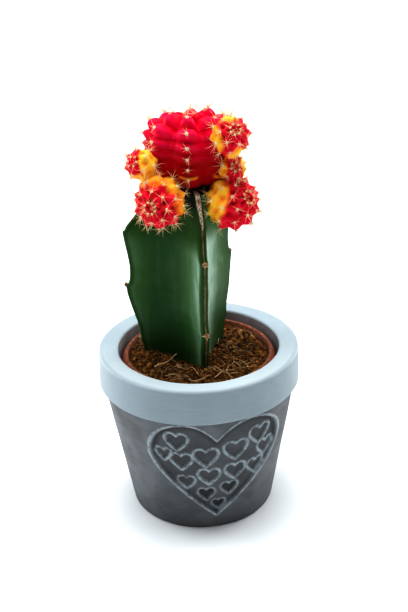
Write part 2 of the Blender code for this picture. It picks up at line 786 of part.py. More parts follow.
def make_offset(head, parts, material, draw, taken, finished):
    centre, turn = head_frame(head)
    body = add_offset_body(head, 0.0, parts, material)
    stalk = new_collection("stalk")
    to_mother = (MOTHER_CENTRE - centre).normalized()
    length = (MOTHER_CENTRE - centre).length - 0.7 * MOTHER_RADIUS
    bm = bmesh.new()
    bmesh.ops.create_cone(bm, cap_ends=True, segments=10, radius1=NECK_RADIUS,
                          radius2=NECK_RADIUS, depth=length)
    neck = add_object("neck", mesh_of(bm, "neck"), stalk)
    neck.location = centre + to_mother * length / 2
    neck.rotation_mode = "QUATERNION"
    neck.rotation_quaternion = aim(to_mother)
    boolean(body, "UNION", stalk, "MANIFOLD")
    seats = new_collection("seats")
    seat = add_object("seat", mother_mesh(SEAT_MARGIN), seats)
    seat.location = MOTHER_CENTRE
    for other in finished:
        if (Vector(other["centre"]) * MM - centre).length < (other["radius"] + head["radius"]) * MM:
            add_offset_body(other, SEAT_MARGIN, seats)
    boolean(body, "DIFFERENCE", seats, "MANIFOLD")
    keep_largest_body(body)
    repeats = new_collection("offset_repeats")
    for row, polar in enumerate(head["rows"]):
        for rib in range(head["ribs"]):
            azimuth = (rib + 0.5 * (row % 2)) * 360.0 / head["ribs"]
            local = outward(azimuth) * math.sin(math.radians(polar))
            local.z = math.cos(math.radians(polar))
            normal = turn @ local
            place = centre + normal * offset_radius(head, azimuth, polar)
            frame = areole_frame(place, normal)
            add_areole(head["name"], frame, OFFSET_FAN, OFFSET_SPINE,
                       CUSHION_RADIUS, draw, taken, repeats)
    boolean(body, "UNION", repeats, "MANIFOLD")
    keep_largest_body(body)
    smooth(body, 60.0)


def main():
    clear_scene()
    parts = new_collection("grafted_moon_cactus")
    make_pot(parts, new_material("cast_grey", (0.08, 0.10, 0.12), 0.75))
    make_nursery_pot(parts, new_material("terracotta_plastic", (0.30, 0.09, 0.05), 0.5))
    make_soil(parts, new_material("coir_soil", (0.07, 0.03, 0.012), 0.95))
    make_rootstock(parts, new_material("green_stem", (0.012, 0.06, 0.03), 0.45))
    draw = random.Random(SEED)
    taken = []
    red = new_material("red_head", (0.55, 0.01, 0.02), 0.4)
    make_mother(parts, red, draw, taken)
    orange = new_material("red_orange_offsets", (0.65, 0.06, 0.02), 0.4)
    finished = []
    for head in OFFSETS:
        make_offset(head, parts, orange, draw, taken, finished)
        finished.append(head)


main()
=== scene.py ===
"""Dresses the grafted moon cactus: a red ribbed head and its offsets on a green
three-winged rootstock, in a nursery pot that stands inside a cast pot with hearts in
relief.

Lengths are in metres and +Z is up, as in the CAD model. Azimuths are measured round the
vertical axis from the front (-Y), positive towards +X.
"""

import json
import math
import random

import bmesh
import bpy
import numpy as np
from bpy.props import FloatProperty, FloatVectorProperty, IntProperty, PointerProperty
from mathutils import Matrix, Vector, noise

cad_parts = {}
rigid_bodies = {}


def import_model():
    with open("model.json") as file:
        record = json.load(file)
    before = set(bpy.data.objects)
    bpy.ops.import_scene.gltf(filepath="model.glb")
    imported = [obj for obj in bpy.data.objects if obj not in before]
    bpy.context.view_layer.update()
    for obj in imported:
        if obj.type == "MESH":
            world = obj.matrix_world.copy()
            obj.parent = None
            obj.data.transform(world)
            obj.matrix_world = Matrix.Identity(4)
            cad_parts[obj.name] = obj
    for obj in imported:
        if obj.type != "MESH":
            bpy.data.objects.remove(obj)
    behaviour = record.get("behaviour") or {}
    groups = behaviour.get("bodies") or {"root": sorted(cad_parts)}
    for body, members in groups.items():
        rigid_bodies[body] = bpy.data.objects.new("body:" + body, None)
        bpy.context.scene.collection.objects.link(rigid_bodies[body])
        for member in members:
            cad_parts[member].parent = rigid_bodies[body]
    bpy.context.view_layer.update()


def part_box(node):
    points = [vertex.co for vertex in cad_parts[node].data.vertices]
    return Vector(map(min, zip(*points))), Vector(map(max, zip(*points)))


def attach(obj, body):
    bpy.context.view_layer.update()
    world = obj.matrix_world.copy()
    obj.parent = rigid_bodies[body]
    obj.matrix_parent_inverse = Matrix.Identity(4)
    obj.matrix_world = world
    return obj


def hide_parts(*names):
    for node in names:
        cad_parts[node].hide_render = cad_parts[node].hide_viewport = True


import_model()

bl_info = {
    "name": "Grafted Moon Cactus",
    "version": (1, 0, 0),
    "blender": (4, 5, 0),
    "location": "3D View > Sidebar > Cactus",
    "description": "Builds the finished pieces of a grafted moon cactus in its pot",
    "category": "Add Mesh",
}

MM = 0.001
BODY = "root"
FAR_OFF = 1.0                     # farther than anything on the cactus
ANY_TURN = 6.28                   # radians, the range of a random turn
POLE_RADIUS = 1.0 * MM            # innermost ring of a turned piece
ROUGH_OCTAVES = 3

# Cast pot
POT_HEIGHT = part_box("pot")[1].z
COLLAR_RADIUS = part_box("pot")[1].x
RIM_RADIUS = COLLAR_RADIUS - 0.4 * MM
COLLAR_LOW = POT_HEIGHT - 13.95 * MM
BODY_TOP_RADIUS = 38.7 * MM
FOOT_RADIUS = 29.2 * MM
MOUTH_RADIUS = 32.3 * MM
FLOOR_RADIUS = 25.5 * MM
FLOOR_HEIGHT = 8.0 * MM
FINE_PITCH = 0.34 * MM            # mesh rows of the relief, and of plain turned walls
COARSE_PITCH = 2.0 * MM
RELIEF_LEFT = -42.0               # azimuths between which the wall is meshed finely
RELIEF_RIGHT = 64.0
FINE_STEP = 0.5                   # degrees between mesh columns there, and elsewhere
COARSE_STEP = 3.0

# Heart relief
PANEL_AZIMUTH = 9.5
PANEL_LEFT = 1.09                 # how much narrower the wide heart's left half is
PANEL_HALF_WIDTH = 26.2 * MM
# how far a heart's notch is above its middle and its tip is below, as shares of its half width
PANEL_FORM = (0.57, 0.855)
HEART_FORM = (0.57, 0.83)
PANEL_HEIGHT = 29.8 * MM
HEART_STEPS = 10
# how far outside its outline a lip is highest, and how broad it is
PANEL_LIP = (0.50 * MM, 0.64 * MM)
HEART_LIP = (0.32 * MM, 0.80 * MM)
# the small hearts' heights in millimetres between which they change, and from low to high
# their depth, the painted shade on their floor and the height of their lip, as shares
HEART_CHANGE = (14.0, 28.0)
HEART_CUT = (1.0, 0.6)
HEART_SHADE = (1.0, 0.15)
HEART_WEAR = (0.6, 1.0)
PANEL_SHADE = 0.4                 # painted shade on the whole sunk panel and painted shadow under its upper lip, as a share of the rest
UNDER_LIP_SHADE = 0.7             # and under its upper lip, as a share of the rest
# azimuth in degrees, height and width in millimetres
SMALL_HEARTS = (
    (-15.5, 44.4, 9.0), (-25.0, 37.4, 6.4), (-13.5, 34.6, 8.8), (2.7, 36.6, 9.6),
    (22.5, 38.5, 9.8), (39.6, 42.8, 9.6), (46.5, 34.8, 8.2), (39.2, 27.2, 7.6),
    (23.0, 27.8, 8.4), (4.6, 26.8, 8.4), (-11.2, 24.0, 6.6), (19.4, 19.5, 6.8),
    (2.6, 17.7, 6.6), (11.6, 11.9, 5.2),
)

# Nursery pot
NURSERY_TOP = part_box("nursery_pot")[1].z
NURSERY_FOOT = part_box("nursery_pot")[0].z
NURSERY_LIP_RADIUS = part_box("nursery_pot")[1].x
NURSERY_LIP_HEIGHT = 5.0 * MM
NURSERY_TOP_RADIUS = 29.4 * MM
NURSERY_FOOT_RADIUS = 21.5 * MM
NURSERY_WALL = 1.0 * MM
DRAIN_RADIUS = 2.4 * MM
DRAIN_RING = 12.0 * MM            # how far out the drain holes are
DRAIN_COUNT = 4
DRAIN_START = 45.0
DRILL_SIDES = 24
TURNED_STEPS = 96

# Soil
SOIL_HEIGHT = 64.4 * MM
SOIL_BUMP = 0.75 * MM
SOIL_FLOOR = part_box("soil")[0].z
SOIL_EDGE = 27.9 * MM             # the soil's radius at its top
SOIL_EDGE_WIDTH = 2.5 * MM        # ring in which it sinks towards the pot's wall
SOIL_EDGE_DROP = 1.2 * MM
SOIL_WAVES = 5                    # crossing waves that make it uneven
# soil heaped against the rootstock, in millimetres: x, y, height, spread
SOIL_HEAPS = ((-18.5, -1.0, 3.1, 8.0), (3.5, -16.5, 1.4, 8.0))
SOIL_RINGS = 64
SOIL_COLUMNS = 180
SOIL_WALL_RINGS = 20
SOIL_GAP = 0.3 * MM               # between the soil and the nursery pot's wall
CLOD_PITCH = 2.6 * MM
CLOD_HEIGHT = 0.55 * MM
CRUMB_SEED = 21
CRUMB_SIZES = (0.30, 0.65)        # in millimetres, before a few are grown larger
FIBRE_SEED = 22
FIBRE_LENGTHS = (3.0, 9.0)        # in millimetres
STRAW_STEPS = 14
STRAW_SHADE = 0.95
# long straws that lie on the soil in front: ends as level coordinates in millimetres, then
# bow, radius and how much higher the second end lies, in millimetres
STRAWS = (
    ((-17.3, -13.2), (-8.4, -12.4), 0.0, 0.34, 4.6), ((-9.0, -12.6), (0.0, -21.6), -1.8, 0.24, 0.0),
    ((-8.4, -10.4), (-5.6, -16.8), 1.2, 0.22, 0.6), ((11.4, -15.0), (12.8, -22.2), 1.4, 0.26, 0.3),
    ((1.0, -15.0), (8.5, -21.0), -1.4, 0.20, 0.0), ((-13.0, -19.0), (-3.0, -22.5), -1.0, 0.20, 0.0),
    ((6.0, -16.4), (14.0, -17.6), 1.0, 0.20, 0.3), ((14.0, -10.0), (21.0, -14.5), 1.6, 0.20, 0.0),
    ((6.0, -23.5), (15.5, -19.5), -1.8, 0.22, 0.0), ((-4.0, -23.6), (4.5, -22.4), 1.6, 0.20, 0.2),
)

# Rootstock
STOCK_AXIS = (-2.3 * MM, -1.2 * MM)
STOCK_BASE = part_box("rootstock")[0].z
STOCK_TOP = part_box("rootstock")[1].z
STOCK_FULL_HEIGHT = 92.0 * MM     # the wings reach their full width here
WING_WAVE = 2.0 * MM              # how far the edges curve in between two areoles
EDGE_HALF = 1.5 * MM              # half the thickness of a wing at its edge
EDGE_ROUND = 0.9 * MM
WEB_HALF = 3.4 * MM               # half its thickness where the faces are hollow
WEB_REACH = 0.34                  # and how far out that is, as a share of the wing
EDGE_POINTS = 13                  # mesh columns round an edge and across a face
FACE_POINTS = 26
STOCK_PITCH = 0.6 * MM            # mesh rows above the soil
STOCK_BURIED = 4.0 * MM           # coarse rings end this far under the soil
STOCK_BURIED_RINGS = 8
WING_TWIST = 5.0                  # degrees by which the wings turn towards the soil
STOCK_SEED = 31
STOCK_AREOLES = (0.95, 1.2)       # sizes of its areoles in millimetres
STOCK_AREOLE_SEAT = 0.1 * MM      # how far they are let into the wings' edges
STOCK_BARE = 5.0 * MM             # no areoles below this height above the soil
STOCK_TILTS = (50.0, 75.0)
STOCK_SPINES = 3
STOCK_SPINE_REACH = 1.6           # their length in sizes of the areole
# nearness to the middle of a wing's edge, from 0 to 1, where its corky margin starts and how
# far that wanders, and where the scar starts: at the shoulder, and SCAR_WIDENING above it
MARGIN_START = 0.70
MARGIN_WANDER = 0.16
WANDER_PITCH = 3.0 * MM
SCAR_START = (0.79, 0.34)
SCAR_WIDENING = 12.0 * MM
# a dark lump round the graft that stands in for the shadow under the head
SHADOW_LUMP_CENTRE = Vector((1.2, -2.5, 136.8)) * MM
SHADOW_LUMP_RADIUS = 8.4 * MM
SHADOW_LUMP_HALF_HEIGHT = 3.5 * MM
SHADOW_LUMP_RINGS = 20
SHADOW_LUMP_STEP = 5.0
SHADOW_LUMP_POLE = 86.0                # latitude of its last ring
# in degrees and millimetres: widths from the axis, the shoulder's height, the bevel's
# slope above it, and the height and pitch of the areoles
WINGS = (
    dict(azimuth=-98.0, base=19.3, full=25.7, shoulder=116.8, slope=0.76,
         areole=94.6, pitch=22.4),
    dict(azimuth=14.0, base=15.5, full=24.0, shoulder=124.6, slope=0.6,
         areole=113.2, pitch=30.0),
    dict(azimuth=138.0, base=20.0, full=24.0, shoulder=111.0, slope=0.66,
         areole=102.0, pitch=26.4),
)

# Heads
MOTHER_CENTRE = Vector((-0.5, -2.0, 150.3)) * MM
MOTHER_RADIUS = 17.0 * MM
MOTHER_FLAT = 12.35 * MM          # how far under its centre it is cut flat
MOTHER_RISE = 0.80                # height of its upper half, as a share of its radius
MOTHER_SHOULDER = 0.22            # how much broader it is towards the top
MOTHER_LEAN = (0.03, -0.15)       # slope of its crown towards its right and its back
MOTHER_RIBS = 8
MOTHER_TURN = -3.5                # azimuth of the front rib
# latitudes: the front rib's areoles are the six before the last
CHIN_STOPS = (-90.0, -60.0, -40.0, -23.0, -9.0, 4.0, 18.0, 36.0, 60.0, 90.0)
LOWEST_CHIN = 3
HIGHEST_OLD_CHIN = 5.1            # the areoles above it are young and small
CHIN_SEAT = 0.032                 # how far the chins are let in, as a share of the radius
MOTHER_HELIX = -2                 # areoles by which the rows climb in a turn of the head
RIB_CROWDING = 3.0                # degrees by which the ribs shift from the front to the sides
LOWEST_AREOLE = 2.0 * MM          # above the rootstock's top
MOTHER_SEED = 41
OFFSET_SEED = 51
# sizes of the areoles in millimetres, and of the young ones as a share of that
MOTHER_AREOLES = (0.56, 0.72)
MOTHER_YOUNG = 0.75
OFFSET_AREOLES = (0.44, 0.58)
OFFSET_YOUNG = 0.72
# spines: their tilts from the areole's aim, how far round they stray, the middle one's share
# of the tilt, their lengths as shares, and how much those on the crown's far side stand up
# and how long they are
HEAD_TILTS = (26.0, 74.0)
SPINE_STRAY = 14.0
MIDDLE_TILT = 0.25
SPINE_LENGTHS = (0.55, 1.15)
CROWN_LIFT = 1.3
CROWN_REACH = 2.6
MOTHER_CLEARANCE = 1.0 * MM       # no areoles nearer than this to another head
OFFSET_CLEARANCE = 0.5 * MM
# heads that grow together: how deep, as a share of the other's radius, the shares that face
# it where an offset's skin starts to reach out and does so fully, and the widest gap in
# millimetres between two offsets that do
JOIN_DEPTH = 0.86
MOTHER_JOIN = (0.90, 0.99)
OFFSET_JOIN = (0.80, 0.97)
OFFSET_GAP = 1.0
KNOB_COLUMNS = 16                 # mesh columns for each rib of an offset
KNOB_ROWS = 18                    # and mesh rows for each row of tubercles
PLUMP_RADIUS = 0.96               # golden sides fill out to this share of the radius
GOLD_FILLING = 0.35               # share of a hollow's depth that is filled on golden sides
UNDER_HEAD = (-4.5 * MM, -9.0 * MM)  # painted shade darkens the offsets' skin here, under the mother head
# centre and radius in millimetres, the way its apex points, its ribs, the polar angles
# of its first row of tubercles and between rows, the number of rows, and the sides that
# are golden, each with the share that faces it where the gold starts and where it is full;
# a ripeness below 1 leaves the gold orange
OFFSETS = (
    dict(name="offset_left", centre=(-18.2, -15.4, 149.1), radius=6.0,
         apex=(-0.50, -0.74, 0.45), ribs=6, first=18.0, pitch=34.0, rows=4, ripeness=1.0,
         gold=(((0.9, -0.3, 0.25), 0.15, 0.5), ((-0.1, -0.3, -0.95), 0.5, 0.9))),
    dict(name="offset_lower_left", centre=(-11.9, -19.5, 136.1), radius=9.6,
         apex=(-0.36, -0.92, 0.10), ribs=8, first=13.0, pitch=24.25, rows=5, ripeness=0.6,
         gold=(((0.93, -0.15, 0.1), 0.60, 0.92), ((0.55, 0.1, 0.85), 0.58, 0.92),
               ((-0.2, 0.2, 0.95), 0.62, 0.97))),
    dict(name="offset_upper_right", centre=(13.9, -15.3, 158.6), radius=7.3,
         apex=(0.22, -0.80, 0.55), ribs=7, first=15.0, pitch=29.0, rows=4, ripeness=0.8,
         gold=(((-0.9, -0.3, -0.1), 0.54, 0.90), ((0.35, -0.3, -0.9), 0.66, 1.0),
               ((-0.1, 0.1, 0.95), 0.7, 1.0))),
    dict(name="offset_mid_right", centre=(14.3, -12.8, 146.0), radius=5.4,
         apex=(0.24, -0.90, 0.36), ribs=6, first=18.0, pitch=35.3, rows=4, ripeness=1.0,
         gold=(((-0.9, -0.2, 0.1), 0.4, 0.8), ((0.9, 0.1, 0.2), 0.5, 0.85))),
    dict(name="offset_lower_right", centre=(14.2, -13.9, 133.0), radius=10.3,
         apex=(0.58, -0.67, 0.45), ribs=8, first=13.0, pitch=24.25, rows=5, ripeness=1.0,
         gold=(((-0.85, -0.3, 0.35), 0.45, 0.8), ((-0.95, -0.3, -0.1), 0.6, 0.9))),
)

# Stage
CAMERA_TARGET = Vector((2.719, 0.0, 85.25)) * MM
CAMERA_ELEVATION = 25.45
CAMERA_ROLL = -1.774
SENSOR_HEIGHT = 36.0
CLIP_START = 0.01
FLOOR_RADII = (0.02, 0.1, 0.4, 1.2, 3.0)
FLOOR_TOP = -0.05 * MM
FLOOR_UNDER = -5.0 * MM
LIGHT_TARGET = (0.0, 0.0, 0.09)
# name, place, width and height, power in watts and tint of each soft light
LIGHTS = (
    ("overhead", (0.0, 0.05, 0.8), (0.45, 0.45), 4.0, (1.0, 1.0, 1.0)),
    ("left", (-0.66, 0.34, 0.2), (0.5, 0.6), 6.8, (0.97, 0.99, 1.0)),
    ("right", (0.60, 0.46, 0.2), (0.4, 0.6), 4.9, (1.0, 0.99, 0.97)),
)
# strength of the light from all round, from above, and from behind and the sides
ROOM_LIGHT = 0.02
SKY_LIGHT = 2.6
SIDE_LIGHT = 0.85
ROOM_TINT = (0.985, 0.995, 1.0, 1.0)
VIEW_GAMMA = 0.82
VIEW_EXPOSURE = 0.1


# ---------------------------------------------------------------- settings

def length(name, about, default):
    return FloatProperty(name=name, description=about, default=default, min=0.0,
                         unit="LENGTH", precision=5)


def colour(name, about, default):
    return FloatVectorProperty(name=name, description=about, default=default, size=3,
                               min=0.0, max=1.0, subtype="COLOR")


class CastPotSettings(bpy.types.PropertyGroup):
    panel_depth: length("Panel Depth", "How far the wide heart is sunk", 1.2 * MM)
    heart_depth: length("Heart Depth", "How far the small hearts are sunk in it", 0.9 * MM)
    lip_height: length("Lip Height", "How far the hearts' lips stand out", 0.4 * MM)
    paint: colour("Paint", "Painted collar", (0.287, 0.352, 0.394))
    cement: colour("Cement", "Bare cast body", (0.140, 0.150, 0.160))
    # painted highlight on the front of the collar's top
    ring_highlight: colour("Ring Highlight", "Paler paint on the collar's top", (0.455, 0.54, 0.575))
    wash: colour("Wash", "Dry-brushed paint on the hearts' lips", (0.40, 0.475, 0.52))
    clay: colour("Clay", "Nursery pot inside it", (0.30, 0.070, 0.032))


class SoilSettings(bpy.types.PropertyGroup):
    crumbs: IntProperty(name="Crumbs", description="Loose crumbs on the soil",
                        default=1300, min=0)
    fibres: IntProperty(name="Fibres", description="Coir fibres on the soil",
                        default=800, min=0)
    earth: colour("Earth", "Coir soil", (0.120, 0.048, 0.009))
    straw: colour("Straw", "Dry fibres", (0.56, 0.36, 0.18))


class RootstockSettings(bpy.types.PropertyGroup):
    skin: colour("Skin", "Green skin", (0.008, 0.055, 0.007))
    bloom: colour("Bloom", "Waxy bloom on the faces", (0.045, 0.105, 0.055))
    # painted sheen: a pale reflection beside the front wing and a lighter band by the left wing
    wax: colour("Wax", "Waxy sheen beside the front wing", (0.40, 0.60, 0.48))
    cork: colour("Cork", "Corky edges and scars", (0.23, 0.13, 0.065))


class HeadSettings(bpy.types.PropertyGroup):
    crimson: colour("Crimson", "Skin of the heads", (0.76, 0.000, 0.034))
    # low on the heads the skin is its own deeper red, darker still as painted shade
    deep_red: colour("Deep Red", "Skin low on the heads", (0.34, 0.000, 0.001))
    gold: colour("Gold", "Golden sides of the offsets", (1.0, 0.555, 0.04))
    straw: colour("Spine Straw", "Spines", (0.88, 0.66, 0.33))
    wool: colour("Wool", "Cushions of the areoles", (0.95, 0.82, 0.58))
    mother_spine: length("Mother Spine", "Length of the mother head's spines", 2.8 * MM)
    offset_spine: length("Offset Spine", "Length of the offsets' spines", 3.4 * MM)
    spines: IntProperty(name="Spines", description="Spines round each areole",
                        default=8, min=2, max=16)


class StageSettings(bpy.types.PropertyGroup):
    # darker than the far floor: painted shadow round the pot
    floor: colour("Floor", "Floor near the pot", (0.765, 0.80, 0.82))
    distance: length("Camera Distance", "Camera's distance from its target", 422.16 * MM)
    lens: FloatProperty(name="Lens", description="Focal length in millimetres",
                        default=62.907, min=1.0)


def toned(base, share, lift=0.0):
    """A colour made darker or lighter by a share, and lifted."""
    return tuple(min(1.0, share * part + lift) for part in base)


# ---------------------------------------------------------------- node trees

class Value:
    """A socket in a node tree. Python's operators on it add Math nodes."""

    def __init__(self, tree, socket):
        self.tree = tree
        self.socket = socket

    def out(self, name):
        """Another output of the same node."""
        return Value(self.tree, self.socket.node.outputs[name])

    def worked(self, operation, *terms):
        return self.tree.node("ShaderNodeMath", {"operation": operation},
                              dict(enumerate(terms)))

    def __add__(self, other):
        return self.worked("ADD", self, other)

    def __radd__(self, other):
        return self.worked("ADD", other, self)

    def __sub__(self, other):
        return self.worked("SUBTRACT", self, other)

    def __rsub__(self, other):
        return self.worked("SUBTRACT", other, self)

    def __mul__(self, other):
        return self.worked("MULTIPLY", self, other)

    def __rmul__(self, other):
        return self.worked("MULTIPLY", other, self)

    def __truediv__(self, other):
        return self.worked("DIVIDE", self, other)

    def __rtruediv__(self, other):
        return self.worked("DIVIDE", other, self)

    def __pow__(self, other):
        return self.worked("POWER", self, other)

    def __neg__(self):
        return self.worked("MULTIPLY", self, -1.0)

    def least(self, other):
        return self.worked("MINIMUM", self, other)

    def most(self, other):
        return self.worked("MAXIMUM", self, other)

    def sine(self):
        return self.worked("SINE", self)

    def cosine(self):
        return self.worked("COSINE", self)

    def ease(self, low, high):
        """0 at low, 1 at high and smooth between them."""
        return self.tree.node("ShaderNodeMapRange", {"interpolation_type": "SMOOTHSTEP"},
                              {"Value": self, "From Min": low, "From Max": high})

    def between(self, low, high):
        """low where the value is 0 and high where it is 1."""
        return self * (high - low) + low


class Tree:
    """A node tree that is being drawn up, of a material, the world or a shape."""

    def __init__(self, tree):
        self.tree = tree

    def node(self, kind, settings=None, values=None, output=0):
        """Adds a node: its settings first, then the values or links of its sockets."""
        made = self.tree.nodes.new(kind)
        for name, setting in (settings or {}).items():
            if name == "stops":
                self.set_stops(made.color_ramp.elements, setting)
            elif name == "curve":
                self.set_curve(made.mapping, setting)
            else:
                setattr(made, name, setting)
        for name, value in (values or {}).items():
            self.feed(made.inputs[name], value)
        return Value(self, made.outputs[output])

    def feed(self, socket, value):
        if isinstance(value, Value):
            self.tree.links.new(value.socket, socket)
        else:
            socket.default_value = value

    def set_stops(self, elements, stops):
        while len(elements) < len(stops):
            elements.new(1.0)
        for element, (position, stop_colour) in zip(elements, stops):
            element.position = position
            element.color = (*stop_colour, 1.0)

    def set_curve(self, mapping, points):
        curve = mapping.curves[0]
        while len(curve.points) < len(points):
            curve.points.new(1.0, 1.0)
        for point, location in zip(curve.points, points):
            point.location = location
            point.handle_type = "VECTOR"
        mapping.update()

    def vector(self, x, y, z):
        return self.node("ShaderNodeCombineXYZ", values={0: x, 1: y, 2: z})

    def split(self, vector):
        parts = self.node("ShaderNodeSeparateXYZ", values={0: vector})
        return parts, parts.out("Y"), parts.out("Z")

    def mix(self, factor, low, high):
        """A colour between two colours."""
        def as_colour(value):
            return value if isinstance(value, Value) else (*value, 1.0)
        return self.node("ShaderNodeMix", {"data_type": "RGBA"},
                         {0: factor, 6: as_colour(low), 7: as_colour(high)}, 2)


class Finish(Tree):
    """A procedural material. Patterns lie in the piece's own coordinates, in metres."""

    def __init__(self, name, constants):
        self.material = bpy.data.materials.new(name)
        self.material.use_nodes = True
        super().__init__(self.material.node_tree)
        self.shader = self.tree.nodes["Principled BSDF"]
        for socket, value in constants.items():
            self.shader.inputs[socket].default_value = value
        self.place = self.node("ShaderNodeTexCoord", output="Object")

    def attribute(self, name):
        return self.node("ShaderNodeAttribute", {"attribute_name": name}, output="Fac")

    def stretched(self, x, y, z):
        """The piece's coordinates, scaled along each axis."""
        return self.node("ShaderNodeMapping", {"vector_type": "POINT"},
                         {"Vector": self.place, "Scale": (x, y, z)})

    def cloud(self, pitch, detail=3.0, vector=None, distortion=0.0):
        """Soft noise whose patches are about a pitch wide."""
        return self.node("ShaderNodeTexNoise", values={
            "Vector": vector or self.place, "Scale": 1.0 / pitch, "Detail": detail,
            "Distortion": distortion})

    def cells(self, pitch):
        """Distance from the middle of the nearest cell."""
        return self.node("ShaderNodeTexVoronoi", values={
            "Vector": self.place, "Scale": 1.0 / pitch})

    def bump(self, height, depth, strength=1.0):
        return self.node("ShaderNodeBump", values={
            "Height": height, "Distance": depth, "Strength": strength})

    def show(self, **sockets):
        """Links values to the shader's sockets, whose spaces are written as underscores."""
        for name, value in sockets.items():
            self.feed(self.shader.inputs[name.replace("_", " ")], value)
        return self.material


def from_axis(x, y):
    """Level distance from the vertical axis, as a node value."""
    return (x * x + y * y) ** 0.5


def swelling(value, middle, width):
    """A node value that is 1 at the middle and 0 a width away."""
    return value.ease(middle - width, middle) * value.ease(middle + width, middle)


NUMBER = "NodeSocketFloat"
WHOLE = "NodeSocketInt"
SURFACE = "NodeSocketMaterial"


class Shape(Tree):
    """A Geometry Nodes tree with named inputs."""

    def __init__(self, name, inputs):
        group = bpy.data.node_groups.new(name, "GeometryNodeTree")
        interface = group.interface
        interface.new_socket("Geometry", in_out="OUTPUT", socket_type="NodeSocketGeometry")
        interface.new_socket("Points", in_out="INPUT", socket_type="NodeSocketGeometry")
        for label, kind, default in inputs:
            socket = interface.new_socket(label, in_out="INPUT", socket_type=kind)
            socket.default_value = default
        interface.new_socket("Material", in_out="INPUT", socket_type=SURFACE)
        super().__init__(group)
        self.entry = group.nodes.new("NodeGroupInput")

    def given(self, label):
        return Value(self, self.entry.outputs[label])

    def attribute(self, name, kind="FLOAT"):
        return self.node("GeometryNodeInputNamedAttribute", {"data_type": kind},
                         {"Name": name})

    def keep(self, geometry, name, value):
        """Stores a value on the geometry's points."""
        return self.node("GeometryNodeStoreNamedAttribute", {"domain": "POINT"},
                         {"Geometry": geometry, "Name": name, "Value": value})

    def placed(self, points, instance, rotation, scale):
        return self.node("GeometryNodeInstanceOnPoints", values={
            "Points": points, "Instance": instance, "Rotation": rotation, "Scale": scale})

    def grained(self, geometry, pitch, depth):
        """Moves the points in and out by noise."""
        cloud = self.node("ShaderNodeTexNoise", values={"Scale": 1.0 / pitch, "Detail": 2.0})
        offset = self.node("ShaderNodeVectorMath", {"operation": "SCALE"}, {
            0: self.node("GeometryNodeInputNormal"), "Scale": (cloud - 0.5) * (2.0 * depth)})
        return self.node("GeometryNodeSetPosition",
                         values={"Geometry": geometry, "Offset": offset})

    def finish(self, geometry):
        smooth = self.node("GeometryNodeSetShadeSmooth", values={"Geometry": geometry})
        real = self.node("GeometryNodeRealizeInstances", values={"Geometry": smooth})
        painted = self.node("GeometryNodeSetMaterial", values={
            "Geometry": real, "Material": self.given("Material")})
        leaving = self.tree.nodes.new("NodeGroupOutput")
        self.feed(leaving.inputs["Geometry"], painted)
        return self

    def grow(self, obj, material, values):
        """Runs the tree on an object and leaves it with a plain mesh."""
        modifier = obj.modifiers.new(self.tree.name, "NODES")
        modifier.node_group = self.tree
        values = dict(values, Material=material)
        for item in self.tree.interface.items_tree:
            if item.in_out == "INPUT" and item.name in values:
                modifier[item.identifier] = values[item.name]
        graph = bpy.context.evaluated_depsgraph_get()
        mesh = bpy.data.meshes.new_from_object(obj.evaluated_get(graph))
        obj.modifiers.clear()
        obj.data = mesh
        return obj


# ---------------------------------------------------------------- mesh helpers

def add_object(name, mesh, material=None):
    obj = bpy.data.objects.new(name, mesh)
    bpy.context.scene.collection.objects.link(obj)
    if material is not None:
        mesh.materials.clear()
        mesh.materials.append(material)
    return obj


def place_piece(obj, slot, *nodes):
    """Hangs a finished piece on the frame, in place of the solids it stands for."""
    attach(obj, BODY)
    if nodes:
        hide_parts(*nodes)
    return obj


def ease(value, low, high):
    share = np.clip((value - low) / (high - low), 0.0, 1.0)
    return share * share * (3.0 - 2.0 * share)


def lerp(low, high, share):
    return low + (high - low) * share


def swell(value, middle, width):
    """1 at the middle, falling off over a width on both sides."""
    return np.exp(-((value - middle) / width) ** 2)


def bezier(start, pull_a, pull_b, end, t):
    """The point at t on a curve between two ends, drawn out by two pulls."""
    return (start * (1 - t) ** 3 + pull_a * 3 * t * (1 - t) ** 2
            + pull_b * 3 * t * t * (1 - t) + end * t ** 3)


def outward(azimuth):
    """Unit vector that points level out of the vertical axis."""
    angle = math.radians(azimuth)
    return Vector((math.sin(angle), -math.cos(angle), 0.0))


def ring_skin(name, rings, first, last):
    """A closed mesh over rings of points, whose ends close on a point each."""
    rows, columns = rings.shape[:2]
    points = rings.reshape(-1, 3).tolist() + [tuple(first), tuple(last)]
    index = np.arange(rows * columns).reshape(rows, columns)
    ahead = np.roll(index, -1, axis=1)
    quads = np.stack((index[:-1], ahead[:-1], ahead[1:], index[1:]), axis=-1)
    faces = quads.reshape(-1, 4).tolist()
    start = rows * columns
    faces += [(start, b, a) for a, b in zip(index[0].tolist(), ahead[0].tolist())]
    faces += [(start + 1, a, b) for a, b in zip(index[-1].tolist(), ahead[-1].tolist())]
    mesh = bpy.data.meshes.new(name)
    mesh.from_pydata(points, [], faces)
    turn_outward(mesh)
    mesh.shade_smooth()
    return mesh


def turn_outward(mesh):
    bm = bmesh.new()
    bm.from_mesh(mesh)
    bmesh.ops.recalc_face_normals(bm, faces=bm.faces)
    bm.to_mesh(mesh)
    bm.free()


def turned_rings(profile, azimuths):
    """Rings of points from (radius, height) rows, turned round the vertical axis."""
    angle = np.radians(azimuths)
    radius = profile[:, 0:1]
    level = np.broadcast_to(profile[:, 1:2], (len(profile), len(angle)))
    return np.stack((radius * np.sin(angle), -radius * np.cos(angle), level), axis=-1)


def mark(mesh, name, values):
    """Stores a value on the mesh's points; points without one get 0."""
    filled = np.zeros(len(mesh.vertices), np.float32)
    flat = np.asarray(values, np.float32).reshape(-1)
    filled[:len(flat)] = flat
    mesh.attributes.new(name, "FLOAT", "POINT").data.foreach_set("value", filled)


def places(mesh):
    found = np.empty(len(mesh.vertices) * 3)
    mesh.vertices.foreach_get("co", found)
    return found.reshape(-1, 3)


